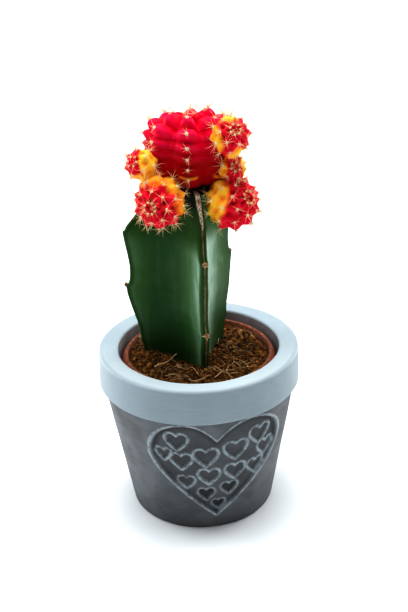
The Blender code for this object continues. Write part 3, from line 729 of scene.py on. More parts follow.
def roughen(mesh, pitch, depth):
    """Moves the points in and out by soft noise."""
    points = places(mesh)
    normals = np.empty(len(points) * 3)
    mesh.vertices.foreach_get("normal", normals)
    height = [noise.fractal(Vector(point) / pitch, 1.0, 2.0, ROUGH_OCTAVES) for point in points]
    points += normals.reshape(-1, 3) * np.array(height)[:, None] * depth
    mesh.vertices.foreach_set("co", points.reshape(-1))
    mesh.update()


def rounded_profile(corners, arc_steps=4):
    """Profile rows from corners of (radius, height, rounding, pitch, zone): each corner
    is turned in a small arc, and the run after it is split at its pitch. Each row is
    (radius, height, zone)."""
    rows = []
    last = len(corners) - 1
    for index, (radius, height, rounding, pitch, zone) in enumerate(corners):
        corner = Vector((radius, height))
        arc = [corner]
        if 0 < index < last:
            back = (Vector(corners[index - 1][:2]) - corner).normalized() * rounding
            ahead = (Vector(corners[index + 1][:2]) - corner).normalized() * rounding
            shares = [step / arc_steps for step in range(arc_steps + 1)]
            arc = [corner + back * (1 - t) ** 2 + ahead * t * t for t in shares]
        if rows:
            start = Vector(rows[-1][:2])
            run = arc[0] - start
            count = max(1, math.ceil(run.length / corners[index - 1][3]))
            steps = [start + run * step / count for step in range(1, count)]
            rows += [(step.x, step.y, corners[index - 1][4]) for step in steps]
        rows += [(point.x, point.y, zone) for point in arc]
    return np.array(rows)


def points_object(name, positions, numbers, vectors):
    """Loose points that carry attributes, for a tree that places instances on them."""
    mesh = bpy.data.meshes.new(name)
    mesh.from_pydata([tuple(position) for position in positions], [], [])
    for label, values in numbers.items():
        mark(mesh, label, values)
    for label, values in vectors.items():
        layer = mesh.attributes.new(label, "FLOAT_VECTOR", "POINT")
        layer.data.foreach_set("vector", np.array(values, np.float32).reshape(-1))
    return add_object(name, mesh)


# ---------------------------------------------------------------- repeated shapes

def strand_shape():
    """A tapering, bowed strand on each point, along the point's aim."""
    shape = Shape("strands", (
        ("Sides", WHOLE, 5), ("Steps", WHOLE, 5), ("Slenderness", NUMBER, 0.03),
        ("Tip", NUMBER, 0.15), ("Bow", NUMBER, 0.12)))
    line = shape.node("GeometryNodeCurveQuadraticBezier", values={
        "Resolution": shape.given("Steps"), "Start": (0.0, 0.0, 0.0),
        "Middle": shape.vector(shape.given("Bow"), 0.0, 0.5), "End": (0.0, 0.0, 1.0)})
    along = shape.node("GeometryNodeSplineParameter")
    line = shape.keep(line, "along", along)
    girth = shape.given("Slenderness") * (1.0 - along * (1.0 - shape.given("Tip")))
    ring = shape.node("GeometryNodeCurvePrimitiveCircle",
                      values={"Resolution": shape.given("Sides"), "Radius": 1.0})
    strand = shape.node("GeometryNodeCurveToMesh", values={
        "Curve": line, "Profile Curve": ring, "Scale": girth, "Fill Caps": True})
    aimed = shape.node("FunctionNodeAlignRotationToVector", {"axis": "Z"},
                       {"Vector": shape.attribute("aim", "FLOAT_VECTOR")})
    spin = shape.node("FunctionNodeAxisAngleToRotation", values={
        "Axis": (0.0, 0.0, 1.0), "Angle": shape.attribute("spin")})
    turn = shape.node("FunctionNodeRotateRotation", {"rotation_space": "LOCAL"},
                      {"Rotation": aimed, "Rotate By": spin})
    return shape.finish(shape.placed(shape.given("Points"), strand, turn,
                                     shape.attribute("size")))


def cushion_shape():
    """A low woolly cushion on each point."""
    shape = Shape("cushions", (
        ("Segments", WHOLE, 10), ("Rings", WHOLE, 6), ("Flatness", NUMBER, 0.7)))
    ball = shape.node("GeometryNodeMeshUVSphere", values={
        "Segments": shape.given("Segments"), "Rings": shape.given("Rings"), "Radius": 1.0})
    low = shape.node("GeometryNodeTransform", values={
        "Geometry": ball, "Scale": shape.vector(1.0, 1.0, shape.given("Flatness"))})
    aimed = shape.node("FunctionNodeAlignRotationToVector", {"axis": "Z"},
                       {"Vector": shape.attribute("aim", "FLOAT_VECTOR")})
    laid = shape.placed(shape.given("Points"), low, aimed, shape.attribute("size"))
    real = shape.node("GeometryNodeRealizeInstances", values={"Geometry": laid})
    return shape.finish(shape.grained(real, 0.35 * MM, 0.14 * MM))


def crumb_shape():
    """An uneven crumb on each point."""
    shape = Shape("crumbs", (("Subdivisions", WHOLE, 2), ("Flatness", NUMBER, 0.7)))
    ball = shape.node("GeometryNodeMeshIcoSphere", values={
        "Radius": 1.0, "Subdivisions": shape.given("Subdivisions")})
    low = shape.node("GeometryNodeTransform", values={
        "Geometry": ball, "Scale": shape.vector(1.0, 0.75, shape.given("Flatness"))})
    turn = shape.node("FunctionNodeEulerToRotation",
                      values={"Euler": shape.attribute("turn", "FLOAT_VECTOR")})
    laid = shape.placed(shape.given("Points"), low, turn, shape.attribute("size"))
    real = shape.node("GeometryNodeRealizeInstances", values={"Geometry": laid})
    return shape.finish(shape.grained(real, 0.8 * MM, 0.45 * MM))


# ---------------------------------------------------------------- cast pot

def heart_outline(half_width, form):
    """Corners of a heart outline, notch up, from the knots of its curve."""
    notch_level, tip_level = form
    lobe_level = 0.897
    side = ((1.0, 0.02), (1.0, 0.40), (1.0, 0.70))
    lobe = ((0.80, lobe_level), (0.515, lobe_level), (0.30, lobe_level))
    notch = ((0.12, notch_level + 0.15), (0.0, notch_level), (-0.12, notch_level + 0.15))
    tip = ((-0.45, -0.5 * tip_level), (0.0, -tip_level), (0.45, -0.5 * tip_level))

    def mirrored(knot):
        return tuple((-x, y) for x, y in reversed(knot))

    knots = np.array((tip, side, lobe, notch, mirrored(lobe), mirrored(side)))
    t = np.linspace(0.0, 1.0, HEART_STEPS, endpoint=False)[:, None]
    corners = [bezier(knot[1], knot[2], following[0], following[1], t)
               for knot, following in zip(knots, np.roll(knots, -1, axis=0))]
    return np.concatenate(corners) * half_width


def outline_distance(across, up, outline):
    """Distance of points from a closed outline, negative inside it."""
    nearest = np.full(across.shape, FAR_OFF)
    inside = np.zeros(across.shape, bool)
    for (ax, ay), (bx, by) in zip(outline, np.roll(outline, -1, axis=0)):
        run_x = bx - ax
        run_y = by - ay
        share = ((across - ax) * run_x + (up - ay) * run_y) / (run_x ** 2 + run_y ** 2)
        share = np.clip(share, 0.0, 1.0)
        gap = np.hypot(across - ax - share * run_x, up - ay - share * run_y)
        nearest = np.minimum(nearest, gap)
        if ay != by:
            crosses = (ay > up) != (by > up)
            inside ^= crosses & (across < run_x * (up - ay) / run_y + ax)
    return np.where(inside, -nearest, nearest)


def heart_distance(azimuth, height, radius, middle, level, half_width, form, left=1.0):
    """Distance on the wall from a heart's outline, seen square to the heart. Its left half
    is narrower by a factor."""
    turn = np.radians(azimuth - middle)
    turn = np.where(turn < 0.0, turn * left, turn)
    distance = outline_distance(radius * np.sin(turn), height - level,
                                heart_outline(half_width, form))
    return np.where(np.cos(turn) > 0.0, distance, FAR_OFF)


def heart_relief(azimuth, height, radius, pot):
    """How far the wall stands out, how much of it is a lip, and its painted shade where sunk."""
    wide = heart_distance(azimuth, height, radius, PANEL_AZIMUTH, PANEL_HEIGHT,
                          PANEL_HALF_WIDTH, PANEL_FORM, PANEL_LEFT)
    sunk = 1.0 - ease(wide, -0.55 * MM, 0.15 * MM)
    lip = swell(wide, *PANEL_LIP)
    # painted shadow under the wide heart's upper lip
    under = sunk * ease(wide, -3.5 * MM, -0.3 * MM) * ease(height, 33.0 * MM, 41.0 * MM)
    deep = np.zeros(azimuth.shape)
    shadow = np.zeros(azimuth.shape)
    for middle, level, width in SMALL_HEARTS:
        near = (abs(height - level * MM) < width * MM) & (abs(azimuth - middle) < 2 * width)
        small = heart_distance(azimuth[near], height[near], radius[near], middle,
                               level * MM, width * MM / 2, HEART_FORM)
        upper = ease(level, *HEART_CHANGE)
        inside = 1.0 - ease(small, -0.5 * MM, 0.1 * MM)
        deep[near] = np.maximum(deep[near], inside * lerp(*HEART_CUT, upper))
        shadow[near] = np.maximum(shadow[near], inside * lerp(*HEART_SHADE, upper))
        lip[near] = np.maximum(lip[near], lerp(*HEART_WEAR, upper) * swell(small, *HEART_LIP))
    depth = np.maximum(pot.panel_depth * sunk, pot.panel_depth * (deep > 0.0)
                       + pot.heart_depth * deep)
    # painted shade: dark over the sunk panel, darker in the hearts and under the upper lip
    shadow = np.maximum(shadow, UNDER_LIP_SHADE * under)
    dark = PANEL_SHADE * sunk + (1.0 - PANEL_SHADE) * shadow
    return pot.lip_height * lip - depth, lip, dark


INSIDE, COLLAR, WALL, BASE = 0.0, 1.0, 2.0, 3.0


def cast_pot_mesh(pot):
    def wall_radius(height):
        return lerp(FOOT_RADIUS, BODY_TOP_RADIUS, height / COLLAR_LOW)

    profile = rounded_profile((
        (POLE_RADIUS, FLOOR_HEIGHT, 0.0, COARSE_PITCH, INSIDE),
        (FLOOR_RADIUS, FLOOR_HEIGHT, 1.2 * MM, COARSE_PITCH, INSIDE),
        (MOUTH_RADIUS, POT_HEIGHT, 0.8 * MM, COARSE_PITCH / 2, COLLAR),
        (RIM_RADIUS, POT_HEIGHT, 1.1 * MM, COARSE_PITCH / 2, COLLAR),
        (COLLAR_RADIUS, COLLAR_LOW, 0.8 * MM, COARSE_PITCH / 2, COLLAR),
        (wall_radius(COLLAR_LOW), COLLAR_LOW, 0.3 * MM, FINE_PITCH, WALL),
        (wall_radius(0.0), 0.0, 1.0 * MM, COARSE_PITCH, BASE),
        (POLE_RADIUS, 0.0, 0.0, COARSE_PITCH, BASE),
    ))
    azimuths = np.concatenate((
        np.arange(RELIEF_LEFT, RELIEF_RIGHT, FINE_STEP),
        np.arange(RELIEF_RIGHT, RELIEF_LEFT + 360.0, COARSE_STEP)))
    rings = turned_rings(profile[:, :2], azimuths)
    zone = np.broadcast_to(profile[:, 2:3], rings.shape[:2])
    azimuth = np.broadcast_to(azimuths, rings.shape[:2])
    radius = np.broadcast_to(profile[:, 0:1], rings.shape[:2])
    wall = zone == WALL
    out = np.zeros(rings.shape[:2])
    lip = np.zeros(rings.shape[:2])
    sunk = np.zeros(rings.shape[:2])
    out[wall], lip[wall], sunk[wall] = heart_relief(
        azimuth[wall], rings[..., 2][wall], radius[wall], pot)
    rings[..., 0] += out * np.sin(np.radians(azimuth))
    rings[..., 1] -= out * np.cos(np.radians(azimuth))
    mesh = ring_skin("relief_pot", rings, (0, 0, FLOOR_HEIGHT), (0, 0, 0))
    roughen(mesh, 14.0 * MM, 0.10 * MM)
    mark(mesh, "painted", zone == COLLAR)
    mark(mesh, "inside", zone == INSIDE)
    mark(mesh, "lip", lip)
    # the painted shade of the sunk panel and hearts
    mark(mesh, "sunk", sunk)
    return mesh


def cast_finish(pot):
    """Bare cement below, with painted shade towards its foot and in the sunk hearts, dry-brushed on
    the hearts' lips, and paint on the collar with a painted highlight on the front of its top.
    """
    foot_shade = (0.062, 0.065, 0.070)
    sand = (0.30, 0.32, 0.33)
    recess_shade = (0.036, 0.037, 0.040)
    fleck = (0.34, 0.40, 0.43)
    raw_dark = (0.10, 0.096, 0.10)
    raw_light = (0.20, 0.19, 0.20)
    finish = Finish("painted_cast_cement", {"Specular IOR Level": 0.45})
    x, y, z = finish.split(finish.place)
    patches = finish.cloud(16.0 * MM, 5.0, distortion=0.6)
    streaks = finish.cloud(4.0 * MM, 4.0, finish.stretched(0.6, 0.6, 1.2))
    grain = finish.cloud(0.5 * MM, 3.0)
    body = finish.mix((patches * 0.65 + streaks * 0.35).ease(0.34, 0.66),
                      toned(pot.cement, 0.66), toned(pot.cement, 1.18))
    # painted shade: the bare body darkens towards its foot
    body = finish.mix(z.ease(26.0 * MM, 0.0) * 0.55, body, foot_shade)
    body = finish.mix(grain.ease(0.62, 0.80) * 0.35, body, sand)
    # painted shade: darker in the sunk panel and hearts
    body = finish.mix(finish.attribute("sunk") * 1.15, body, recess_shade)
    worn = finish.cloud(1.5 * MM) * 0.5 + finish.cloud(6.0 * MM) * 0.5
    brushed = finish.attribute("lip").ease(0.1, 0.95) * worn.ease(0.34, 0.58).between(0.25, 1.0)
    body = finish.mix(brushed * 0.85, body, pot.wash)
    azimuth = x.worked("ARCTAN2", x, -y)
    away = from_axis(x, y)
    strokes = finish.cloud(0.8 * MM, 4.0, finish.vector(azimuth * (6.0 * MM), away, z))
    coat = finish.mix((finish.cloud(9.0 * MM, 4.0) * 0.5 + strokes * 0.5).ease(0.36, 0.64),
                      toned(pot.paint, 0.97), toned(pot.paint, 1.05))
    coat = finish.mix(grain.ease(0.68, 0.80) * 0.25, coat, fleck)
    # painted highlight: the front of the collar's top is lighter
    ring_highlight_mask = (away.ease(RIM_RADIUS - 0.4 * MM, RIM_RADIUS - 2.4 * MM)
              * z.ease(POT_HEIGHT - 1.0 * MM, POT_HEIGHT - 0.4 * MM)
              * y.ease(8.0 * MM, -28.0 * MM))
    coat = finish.mix(ring_highlight_mask * (strokes * 0.3 + 0.8), coat, pot.ring_highlight)
    painted = finish.attribute("painted")
    skin = finish.mix(painted, body, coat)
    raw = finish.mix(patches.ease(0.3, 0.7), raw_dark, raw_light)
    skin = finish.mix(finish.attribute("inside").ease(0.0, 0.12), skin, raw)
    pores = finish.cells(1.3 * MM).ease(0.06, 0.16)
    height = finish.cloud(3.0 * MM, 4.0) * 0.6 + grain * 0.25 + pores * 0.25 * (1.0 - painted)
    return finish.show(Base_Color=skin, Roughness=0.78 - painted * 0.26 + grain * 0.08,
                       Normal=finish.bump(height, 0.16 * MM, 0.8))


class CACTUS_OT_cast_pot(bpy.types.Operator):
    """Builds the cast pot with its hearts in relief"""
    bl_idname = "cactus.cast_pot"
    bl_label = "Cast Pot"

    def execute(self, context):
        pot = context.scene.cactus_pot
        obj = add_object("relief_pot", cast_pot_mesh(pot), cast_finish(pot))
        place_piece(obj, "cast_pot", "pot")
        return {"FINISHED"}


# ---------------------------------------------------------------- nursery pot

def nursery_radius(height):
    """Outer radius of the nursery pot's wall below its lip."""
    share = (height - NURSERY_FOOT) / (NURSERY_TOP - NURSERY_FOOT)
    return lerp(NURSERY_FOOT_RADIUS, NURSERY_TOP_RADIUS, share)


def nursery_pot_mesh():
    floor = NURSERY_FOOT + NURSERY_WALL
    lip_low = NURSERY_TOP - NURSERY_LIP_HEIGHT
    inner_top = nursery_radius(NURSERY_TOP) - NURSERY_WALL
    profile = rounded_profile((
        (POLE_RADIUS, floor, 0.0, COARSE_PITCH, 0),
        (nursery_radius(floor) - NURSERY_WALL, floor, 0.8 * MM, COARSE_PITCH, 0),
        (inner_top, NURSERY_TOP, 0.4 * MM, COARSE_PITCH / 2, 0),
        (inner_top + 1.1 * MM, NURSERY_TOP, 0.4 * MM, COARSE_PITCH / 2, 0),
        (NURSERY_LIP_RADIUS, NURSERY_TOP - 2.2 * MM, 0.8 * MM, COARSE_PITCH / 2, 0),
        (NURSERY_LIP_RADIUS - 0.4 * MM, lip_low, 0.3 * MM, COARSE_PITCH / 2, 0),
        (nursery_radius(lip_low), lip_low, 0.2 * MM, COARSE_PITCH, 0),
        (nursery_radius(NURSERY_FOOT), NURSERY_FOOT, 0.6 * MM, COARSE_PITCH, 0),
        (POLE_RADIUS, NURSERY_FOOT, 0.0, COARSE_PITCH, 0),
    ), 3)
    azimuths = np.arange(TURNED_STEPS) * 360.0 / TURNED_STEPS
    rings = turned_rings(profile[:, :2], azimuths)
    return ring_skin("clay_pot", rings, (0, 0, floor), (0, 0, NURSERY_FOOT))


def drill_drains(obj):
    """Cuts the drain holes through the nursery pot's floor."""
    drills = bpy.data.collections.new("drills")
    bpy.context.scene.collection.children.link(drills)
    for index in range(DRAIN_COUNT):
        bm = bmesh.new()
        bmesh.ops.create_cone(bm, cap_ends=True, segments=DRILL_SIDES, radius1=DRAIN_RADIUS,
                              radius2=DRAIN_RADIUS, depth=4 * NURSERY_WALL)
        middle = outward(DRAIN_START + index * 360.0 / DRAIN_COUNT) * DRAIN_RING
        middle.z = NURSERY_FOOT
        bmesh.ops.translate(bm, verts=bm.verts, vec=middle)
        mesh = bpy.data.meshes.new("drill")
        bm.to_mesh(mesh)
        bm.free()
        drills.objects.link(bpy.data.objects.new("drill", mesh))
    modifier = obj.modifiers.new("drains", "BOOLEAN")
    modifier.operand_type = "COLLECTION"
    modifier.collection = drills
    modifier.operation = "DIFFERENCE"
    bpy.context.view_layer.update()
    graph = bpy.context.evaluated_depsgraph_get()
    mesh = bpy.data.meshes.new_from_object(obj.evaluated_get(graph))
    obj.modifiers.clear()
    obj.data = mesh
    mesh.set_sharp_from_angle(angle=math.radians(50.0))
    for drill in list(drills.objects):
        bpy.data.objects.remove(drill, do_unlink=True)
    bpy.data.collections.remove(drills)


def clay_finish(pot):
    """Moulded plastic with faint rings, and coir dust on its inner side."""
    coir_dust = (0.085, 0.034, 0.010)
    finish = Finish("moulded_clay_plastic", {"Specular IOR Level": 0.4})
    rings = finish.cloud(0.9 * MM, 1.0, finish.stretched(0.05, 0.05, 1.0))
    skin = finish.mix(finish.cloud(6.0 * MM, 4.0), toned(pot.clay, 0.7), toned(pot.clay, 1.25))
    away = from_axis(*finish.split(finish.place)[:2])
    inner = away.ease(NURSERY_LIP_RADIUS - 0.9 * MM, NURSERY_LIP_RADIUS - 1.6 * MM)
    dust = (finish.cloud(1.6 * MM, 4.0) + inner * 0.22).ease(0.55, 0.72)
    skin = finish.mix(dust * 0.75, skin, coir_dust)
    return finish.show(Base_Color=skin, Roughness=dust * 0.3 + 0.5,
                       Normal=finish.bump(rings * 0.6 + dust * 0.4, 0.08 * MM, 0.6))


class CACTUS_OT_nursery_pot(bpy.types.Operator):
    """Builds the thin nursery pot inside the cast pot"""
    bl_idname = "cactus.nursery_pot"
    bl_label = "Nursery Pot"

    def execute(self, context):
        obj = add_object("clay_pot", nursery_pot_mesh(), clay_finish(context.scene.cactus_pot))
        drill_drains(obj)
        place_piece(obj, "terracotta_plastic", "nursery_pot")
        return {"FINISHED"}


# ---------------------------------------------------------------- soil

def soil_surface(x, y):
    """Height of the soil at level coordinates."""
    waves = 0.0
    for step in range(SOIL_WAVES):
        angle = 1.1 + 2.4 * step
        pitch = (9.0 - 1.4 * step) * MM
        phase = 1.7 * step + 0.6
        along = x * math.cos(angle) + y * math.sin(angle)
        waves = waves + np.sin(2 * math.pi * along / pitch + phase)
    edge = ease(np.hypot(x, y), SOIL_EDGE - SOIL_EDGE_WIDTH, SOIL_EDGE)
    heaped = 0.0
    for east, north, high, spread in SOIL_HEAPS:
        near = np.hypot(x / MM - east, y / MM - north) / spread
        heaped = heaped + high * MM * np.exp(-near * near)
    uneven = SOIL_BUMP * waves / 3.0
    return SOIL_HEIGHT + uneven - SOIL_EDGE_DROP * edge + heaped * (1.0 - edge)


def soil_mesh():
    azimuths = np.arange(SOIL_COLUMNS) * 360.0 / SOIL_COLUMNS
    top_radii = np.linspace(POLE_RADIUS / 2, SOIL_EDGE, SOIL_RINGS)
    top = np.stack((top_radii, np.full(SOIL_RINGS, SOIL_HEIGHT)), axis=-1)
    heights = np.linspace(SOIL_HEIGHT - 3 * MM, SOIL_FLOOR, SOIL_WALL_RINGS)
    wall = np.stack((nursery_radius(heights) - NURSERY_WALL - SOIL_GAP, heights), axis=-1)
    rings = turned_rings(np.concatenate((top, wall, [(POLE_RADIUS, SOIL_FLOOR)])), azimuths)
    surface = rings[:SOIL_RINGS]
    surface[..., 2] = soil_surface(surface[..., 0], surface[..., 1])
    clods = np.array([noise.fractal(Vector(point) / CLOD_PITCH, 0.7, 2.1, 4)
                      for point in surface.reshape(-1, 3)])
    surface[..., 2] += CLOD_HEIGHT * clods.reshape(surface.shape[:2])
    return ring_skin("coir_bed", rings, (0, 0, SOIL_HEIGHT), (0, 0, SOIL_FLOOR))


def earth_colours(finish, soil, shade):
    """Coir from nearly black to light brown."""
    return finish.node("ShaderNodeValToRGB", {"stops": (
        (0.0, toned(soil.earth, 0.16)), (0.38, toned(soil.earth, 0.62)),
        (0.66, toned(soil.earth, 1.35)), (1.0, toned(soil.earth, 2.7, 0.01)))}, {"Fac": shade})


def soil_finish(soil):
    finish = Finish("coir_bed", {"Specular IOR Level": 0.06})
    crumbs = finish.cloud(1.1 * MM, 5.0, distortion=0.4)
    threads = finish.cloud(0.7 * MM, 3.0, finish.stretched(1.0, 0.25, 0.6), 1.5)
    clumps = finish.cloud(5.0 * MM, 3.0)
    shade = (crumbs * 0.5 + threads * 0.3 + clumps * 0.2).ease(0.36, 0.64)
    height = crumbs * 0.7 + threads * 0.3
    return finish.show(Base_Color=earth_colours(finish, soil, shade * 0.85), Roughness=0.95,
                       Normal=finish.bump(height, 0.7 * MM))


def litter_finish(name, soil, straw):
    """Loose crumbs and fibres: each has its own shade of earth or straw."""
    finish = Finish(name, {"Specular IOR Level": 0.08})
    clumps = finish.cloud(5.0 * MM, 3.0) - 0.5
    shade = finish.attribute("shade") + (finish.cloud(0.6 * MM) - 0.5) * 0.5 + clumps * 0.9
    skin = earth_colours(finish, soil, shade.ease(-0.1, 1.1))
    if straw:
        skin = finish.mix(shade.ease(0.45, 1.0), skin, soil.straw)
    return finish.show(Base_Color=skin, Roughness=0.85,
                       Normal=finish.bump(finish.cloud(0.3 * MM), 0.1 * MM))


def stem_outline(grow):
    """The rootstock's outline where it comes out of the soil."""
    section = stock_sections(np.array([SOIL_HEIGHT]), grow)[0][0]
    return section[:, :2]


def scattered(draw, count, outline, edge):
    """Level places spread evenly over the soil, clear of the rootstock."""
    spots = [outward(draw.uniform(0.0, 360.0)) * edge * math.sqrt(draw.random())
             for index in range(2 * count)]
    level = np.array(spots)
    clear = outline_distance(level[:, 0], level[:, 1], outline) > 0.0
    return [spot for spot, free in zip(spots, clear) if free][:count]


def add_crumbs(soil, shape):
    draw = random.Random(CRUMB_SEED)
    spots = scattered(draw, soil.crumbs, stem_outline(0.3 * MM), SOIL_EDGE - 0.6 * MM)
    positions = []
    numbers = {"size": [], "shade": []}
    turns = []
    for spot in spots:
        size = draw.uniform(*CRUMB_SIZES) * MM * (1.0 + 1.2 * draw.random() ** 5)
        spot.z = float(soil_surface(spot.x, spot.y)) + 0.2 * size
        positions.append(spot)
        numbers["size"].append(size)
        numbers["shade"].append(draw.random())
        turns.append([draw.uniform(0.0, ANY_TURN) for axis in range(3)])
    obj = points_object("coir_crumbs", positions, numbers, {"turn": turns})
    return shape.grow(obj, litter_finish("coir_crumbs", soil, False), {"Flatness": 0.6})


def add_fibres(soil, shape):
    draw = random.Random(FIBRE_SEED)
    spots = scattered(draw, soil.fibres, stem_outline(0.6 * MM), SOIL_EDGE - 2.0 * MM)
    positions = []
    numbers = {"size": [], "shade": [], "spin": []}
    aims = []
    for spot in spots:
        spot.z = float(soil_surface(spot.x, spot.y)) + draw.uniform(-0.2, 0.5) * MM
        size = draw.uniform(*FIBRE_LENGTHS) * MM
        aim = outward(draw.uniform(0.0, 360.0))
        end = spot + aim * size
        if end.xy.length > SOIL_EDGE - 1.0 * MM:
            aim = -aim
        aim.z = draw.uniform(-0.08, 0.16)
        positions.append(spot)
        numbers["size"].append(size)
        numbers["shade"].append(draw.random() ** 1.3)
        numbers["spin"].append(draw.uniform(0.0, ANY_TURN))
        aims.append(aim.normalized())
    obj = points_object("coir_fibres", positions, numbers, {"aim": aims})
    return shape.grow(obj, litter_finish("coir_fibres", soil, True), {
        "Sides": 4, "Steps": 8, "Slenderness": 0.018, "Tip": 0.35, "Bow": 0.28})


def add_straws(soil):
    straws = []
    for (ax, ay), (bx, by), bow, radius, lift in STRAWS:
        curve = bpy.data.curves.new("straw", "CURVE")
        curve.dimensions = "3D"
        curve.bevel_depth = radius * MM
        curve.bevel_resolution = 2
        curve.use_fill_caps = True
        spline = curve.splines.new("POLY")
        spline.points.add(STRAW_STEPS)
        side = Vector((by - ay, ax - bx)).normalized()
        for index, point in enumerate(spline.points):
            share = index / STRAW_STEPS
            bend = bow * math.sin(math.pi * share)
            x = lerp(ax, bx, share) + side.x * bend
            y = lerp(ay, by, share) + side.y * bend
            ripple = 0.25 * math.sin(7.0 * share + radius * 40.0)
            z = float(soil_surface(x * MM, y * MM)) + (0.9 + ripple + lift * share) * MM
            point.co = (x * MM, y * MM, z, 1.0)
            point.radius = 1.0 - 0.45 * share
        straws.append(bpy.data.objects.new("straw", curve))
        bpy.context.scene.collection.objects.link(straws[-1])
    return join_curves("long_straws", straws, litter_finish("long_straws", soil, True))


def join_curves(name, curves, material):
    """Turns curve objects into one mesh."""
    graph = bpy.context.evaluated_depsgraph_get()
    bm = bmesh.new()
    for curve in curves:
        mesh = bpy.data.meshes.new_from_object(curve.evaluated_get(graph))
        bm.from_mesh(mesh)
        bpy.data.objects.remove(curve, do_unlink=True)
    joined = bpy.data.meshes.new(name)
    bmesh.ops.remove_doubles(bm, verts=bm.verts, dist=0.005 * MM)
    bmesh.ops.recalc_face_normals(bm, faces=bm.faces)
    bm.to_mesh(joined)
    bm.free()
    joined.shade_smooth()
    mark(joined, "shade", np.full(len(joined.vertices), STRAW_SHADE))
    return add_object(name, joined, material)


class CACTUS_OT_soil(bpy.types.Operator):
    """Builds the soil with its crumbs and fibres"""
    bl_idname = "cactus.soil"
    bl_label = "Soil"

    def execute(self, context):
        soil = context.scene.cactus_soil
        bed = add_object("coir_bed", soil_mesh(), soil_finish(soil))
        place_piece(bed, "coir_soil", "soil")
        place_piece(add_crumbs(soil, crumb_shape()), "coir_soil")
        place_piece(add_fibres(soil, strand_shape()), "coir_soil")
        place_piece(add_straws(soil), "coir_soil")
        return {"FINISHED"}


# ---------------------------------------------------------------- spines and wool

def sideways(normal):
    """Two unit vectors across a normal, the first down the surface."""
    down = Vector((0.0, 0.0, -1.0))
    down -= normal * normal.dot(down)
    if down.length < 0.01:
        down = Vector((0.0, -1.0, 0.0))
    down.normalize()
    return down, normal.cross(down)


def fan_of_spines(name, areoles, draw, count, reach, tilts, crowning):
    """A point for each spine of each areole: one stands up in the middle, and the others
    lean out round it. A spine's length is a reach times the areole's size. Those on the
    crown's far side are longer and more upright, by a share."""
    positions = []
    aims = []
    numbers = {"size": [], "spin": []}
    for place, normal, size in areoles:
        high = crowning * float(ease(normal.z, 0.15, 0.5) * ease(normal.y, -0.3, 0.2))
        normal = (normal + Vector((0.0, 0.0, CROWN_LIFT * high))).normalized()
        down, across = sideways(normal)
        start = draw.uniform(0.0, 360.0)
        for index in range(count):
            stray = draw.uniform(-SPINE_STRAY, SPINE_STRAY)
            around = math.radians(start + index * 360.0 / count + stray)
            tilt = math.radians(draw.uniform(*tilts))
            if index == 0:
                tilt *= MIDDLE_TILT
            level = down * math.cos(around) + across * math.sin(around)
            aim = normal * math.cos(tilt) + level * math.sin(tilt)
            positions.append(place + aim * 0.3 * size)
            aims.append(aim)
            numbers["size"].append(reach * size * draw.uniform(*SPINE_LENGTHS)
                                   * lerp(1.0, CROWN_REACH, high))
            numbers["spin"].append(draw.uniform(0.0, ANY_TURN))
    return points_object(name, positions, numbers, {"aim": aims})


def spine_finish(name, heads):
    """Straw from a darker foot to a brown tip."""
    finish = Finish(name, {"Specular IOR Level": 0.5})
    shade = finish.attribute("along") + (finish.cloud(1.2 * MM) - 0.5) * 0.3
    skin = finish.node("ShaderNodeValToRGB", {"stops": (
        (0.0, toned(heads.straw, 0.75)), (0.35, toned(heads.straw, 1.15)),
        (0.80, toned(heads.straw, 1.0)), (1.0, toned(heads.straw, 0.42)))}, {"Fac": shade})
    return finish.show(Base_Color=skin, Roughness=0.45,
                       Normal=finish.bump(finish.cloud(0.2 * MM), 0.02 * MM))


def wool_finish(name, heads):
    finish = Finish(name, {"Specular IOR Level": 0.2})
    tufts = finish.cloud(0.18 * MM, 4.0, distortion=0.8)
    skin = finish.mix(tufts.ease(0.3, 0.7), toned(heads.wool, 0.55), toned(heads.wool, 1.25))
    return finish.show(Base_Color=skin, Roughness=0.95,
                       Normal=finish.bump(tufts, 0.12 * MM))


def dress_areoles(prefix, areoles, heads, draw, reach, crowning, slot):
    """Wool and spines for the areoles of one kind of head."""
    wool = points_object(prefix + "_wool", [place for place, normal, size in areoles],
                         {"size": [size for place, normal, size in areoles]},
                         {"aim": [normal for place, normal, size in areoles]})
    cushion_shape().grow(wool, wool_finish(prefix + "_wool", heads), {})
    place_piece(wool, slot)
    typical = sum(size for place, normal, size in areoles) / len(areoles)
    spines = fan_of_spines(prefix + "_spines", areoles, draw, heads.spines,
                           reach / typical, HEAD_TILTS, crowning)
    strand_shape().grow(spines, spine_finish(prefix + "_spines", heads), {
        "Sides": 4, "Steps": 5, "Slenderness": 0.028, "Tip": 0.10, "Bow": 0.10})
    place_piece(spines, slot)


def is_clear(name, point, margin):
    """True where a point keeps a margin from every head but its own."""
    spheres = [("mother", MOTHER_CENTRE, MOTHER_RADIUS)]
    for head in OFFSETS:
        spheres.append((head["name"], Vector(head["centre"]) * MM, head["radius"] * MM))
    return all(other == name or (point - centre).length > radius + margin
               for other, centre, radius in spheres)


# ---------------------------------------------------------------- rootstock

def wing_reach(wing, height):
    """How far a wing stands out of the rootstock's axis at each height."""
    share = ease(height, SOIL_HEIGHT, STOCK_FULL_HEIGHT)
    reach = lerp(wing["base"], wing["full"], share) * MM
    reach = reach - 0.12 * np.maximum(SOIL_HEIGHT - height, 0.0)
    above = ((height / MM - wing["areole"]) / wing["pitch"]) % 1.0
    reach = reach - WING_WAVE * share * np.sin(math.pi * np.sqrt(above))
    over = height - wing["shoulder"] * MM
    bevel = wing["full"] * MM - wing["slope"] * over
    return np.where(over > 0.0, np.minimum(reach, bevel), reach)


def wing_azimuth(wing, height):
    """The wings turn a little towards the soil."""
    return wing["azimuth"] + WING_TWIST * (1.0 - ease(height, SOIL_HEIGHT, STOCK_FULL_HEIGHT))


def wing_point(wing, height, reach, across):
    """Points given along and across a wing, as rows of (x, y)."""
    angle = np.radians(wing_azimuth(wing, height))
    x = np.sin(angle) * reach + np.cos(angle) * across + STOCK_AXIS[0]
    y = -np.cos(angle) * reach + np.sin(angle) * across + STOCK_AXIS[1]
    return np.stack((x, y), axis=-1)


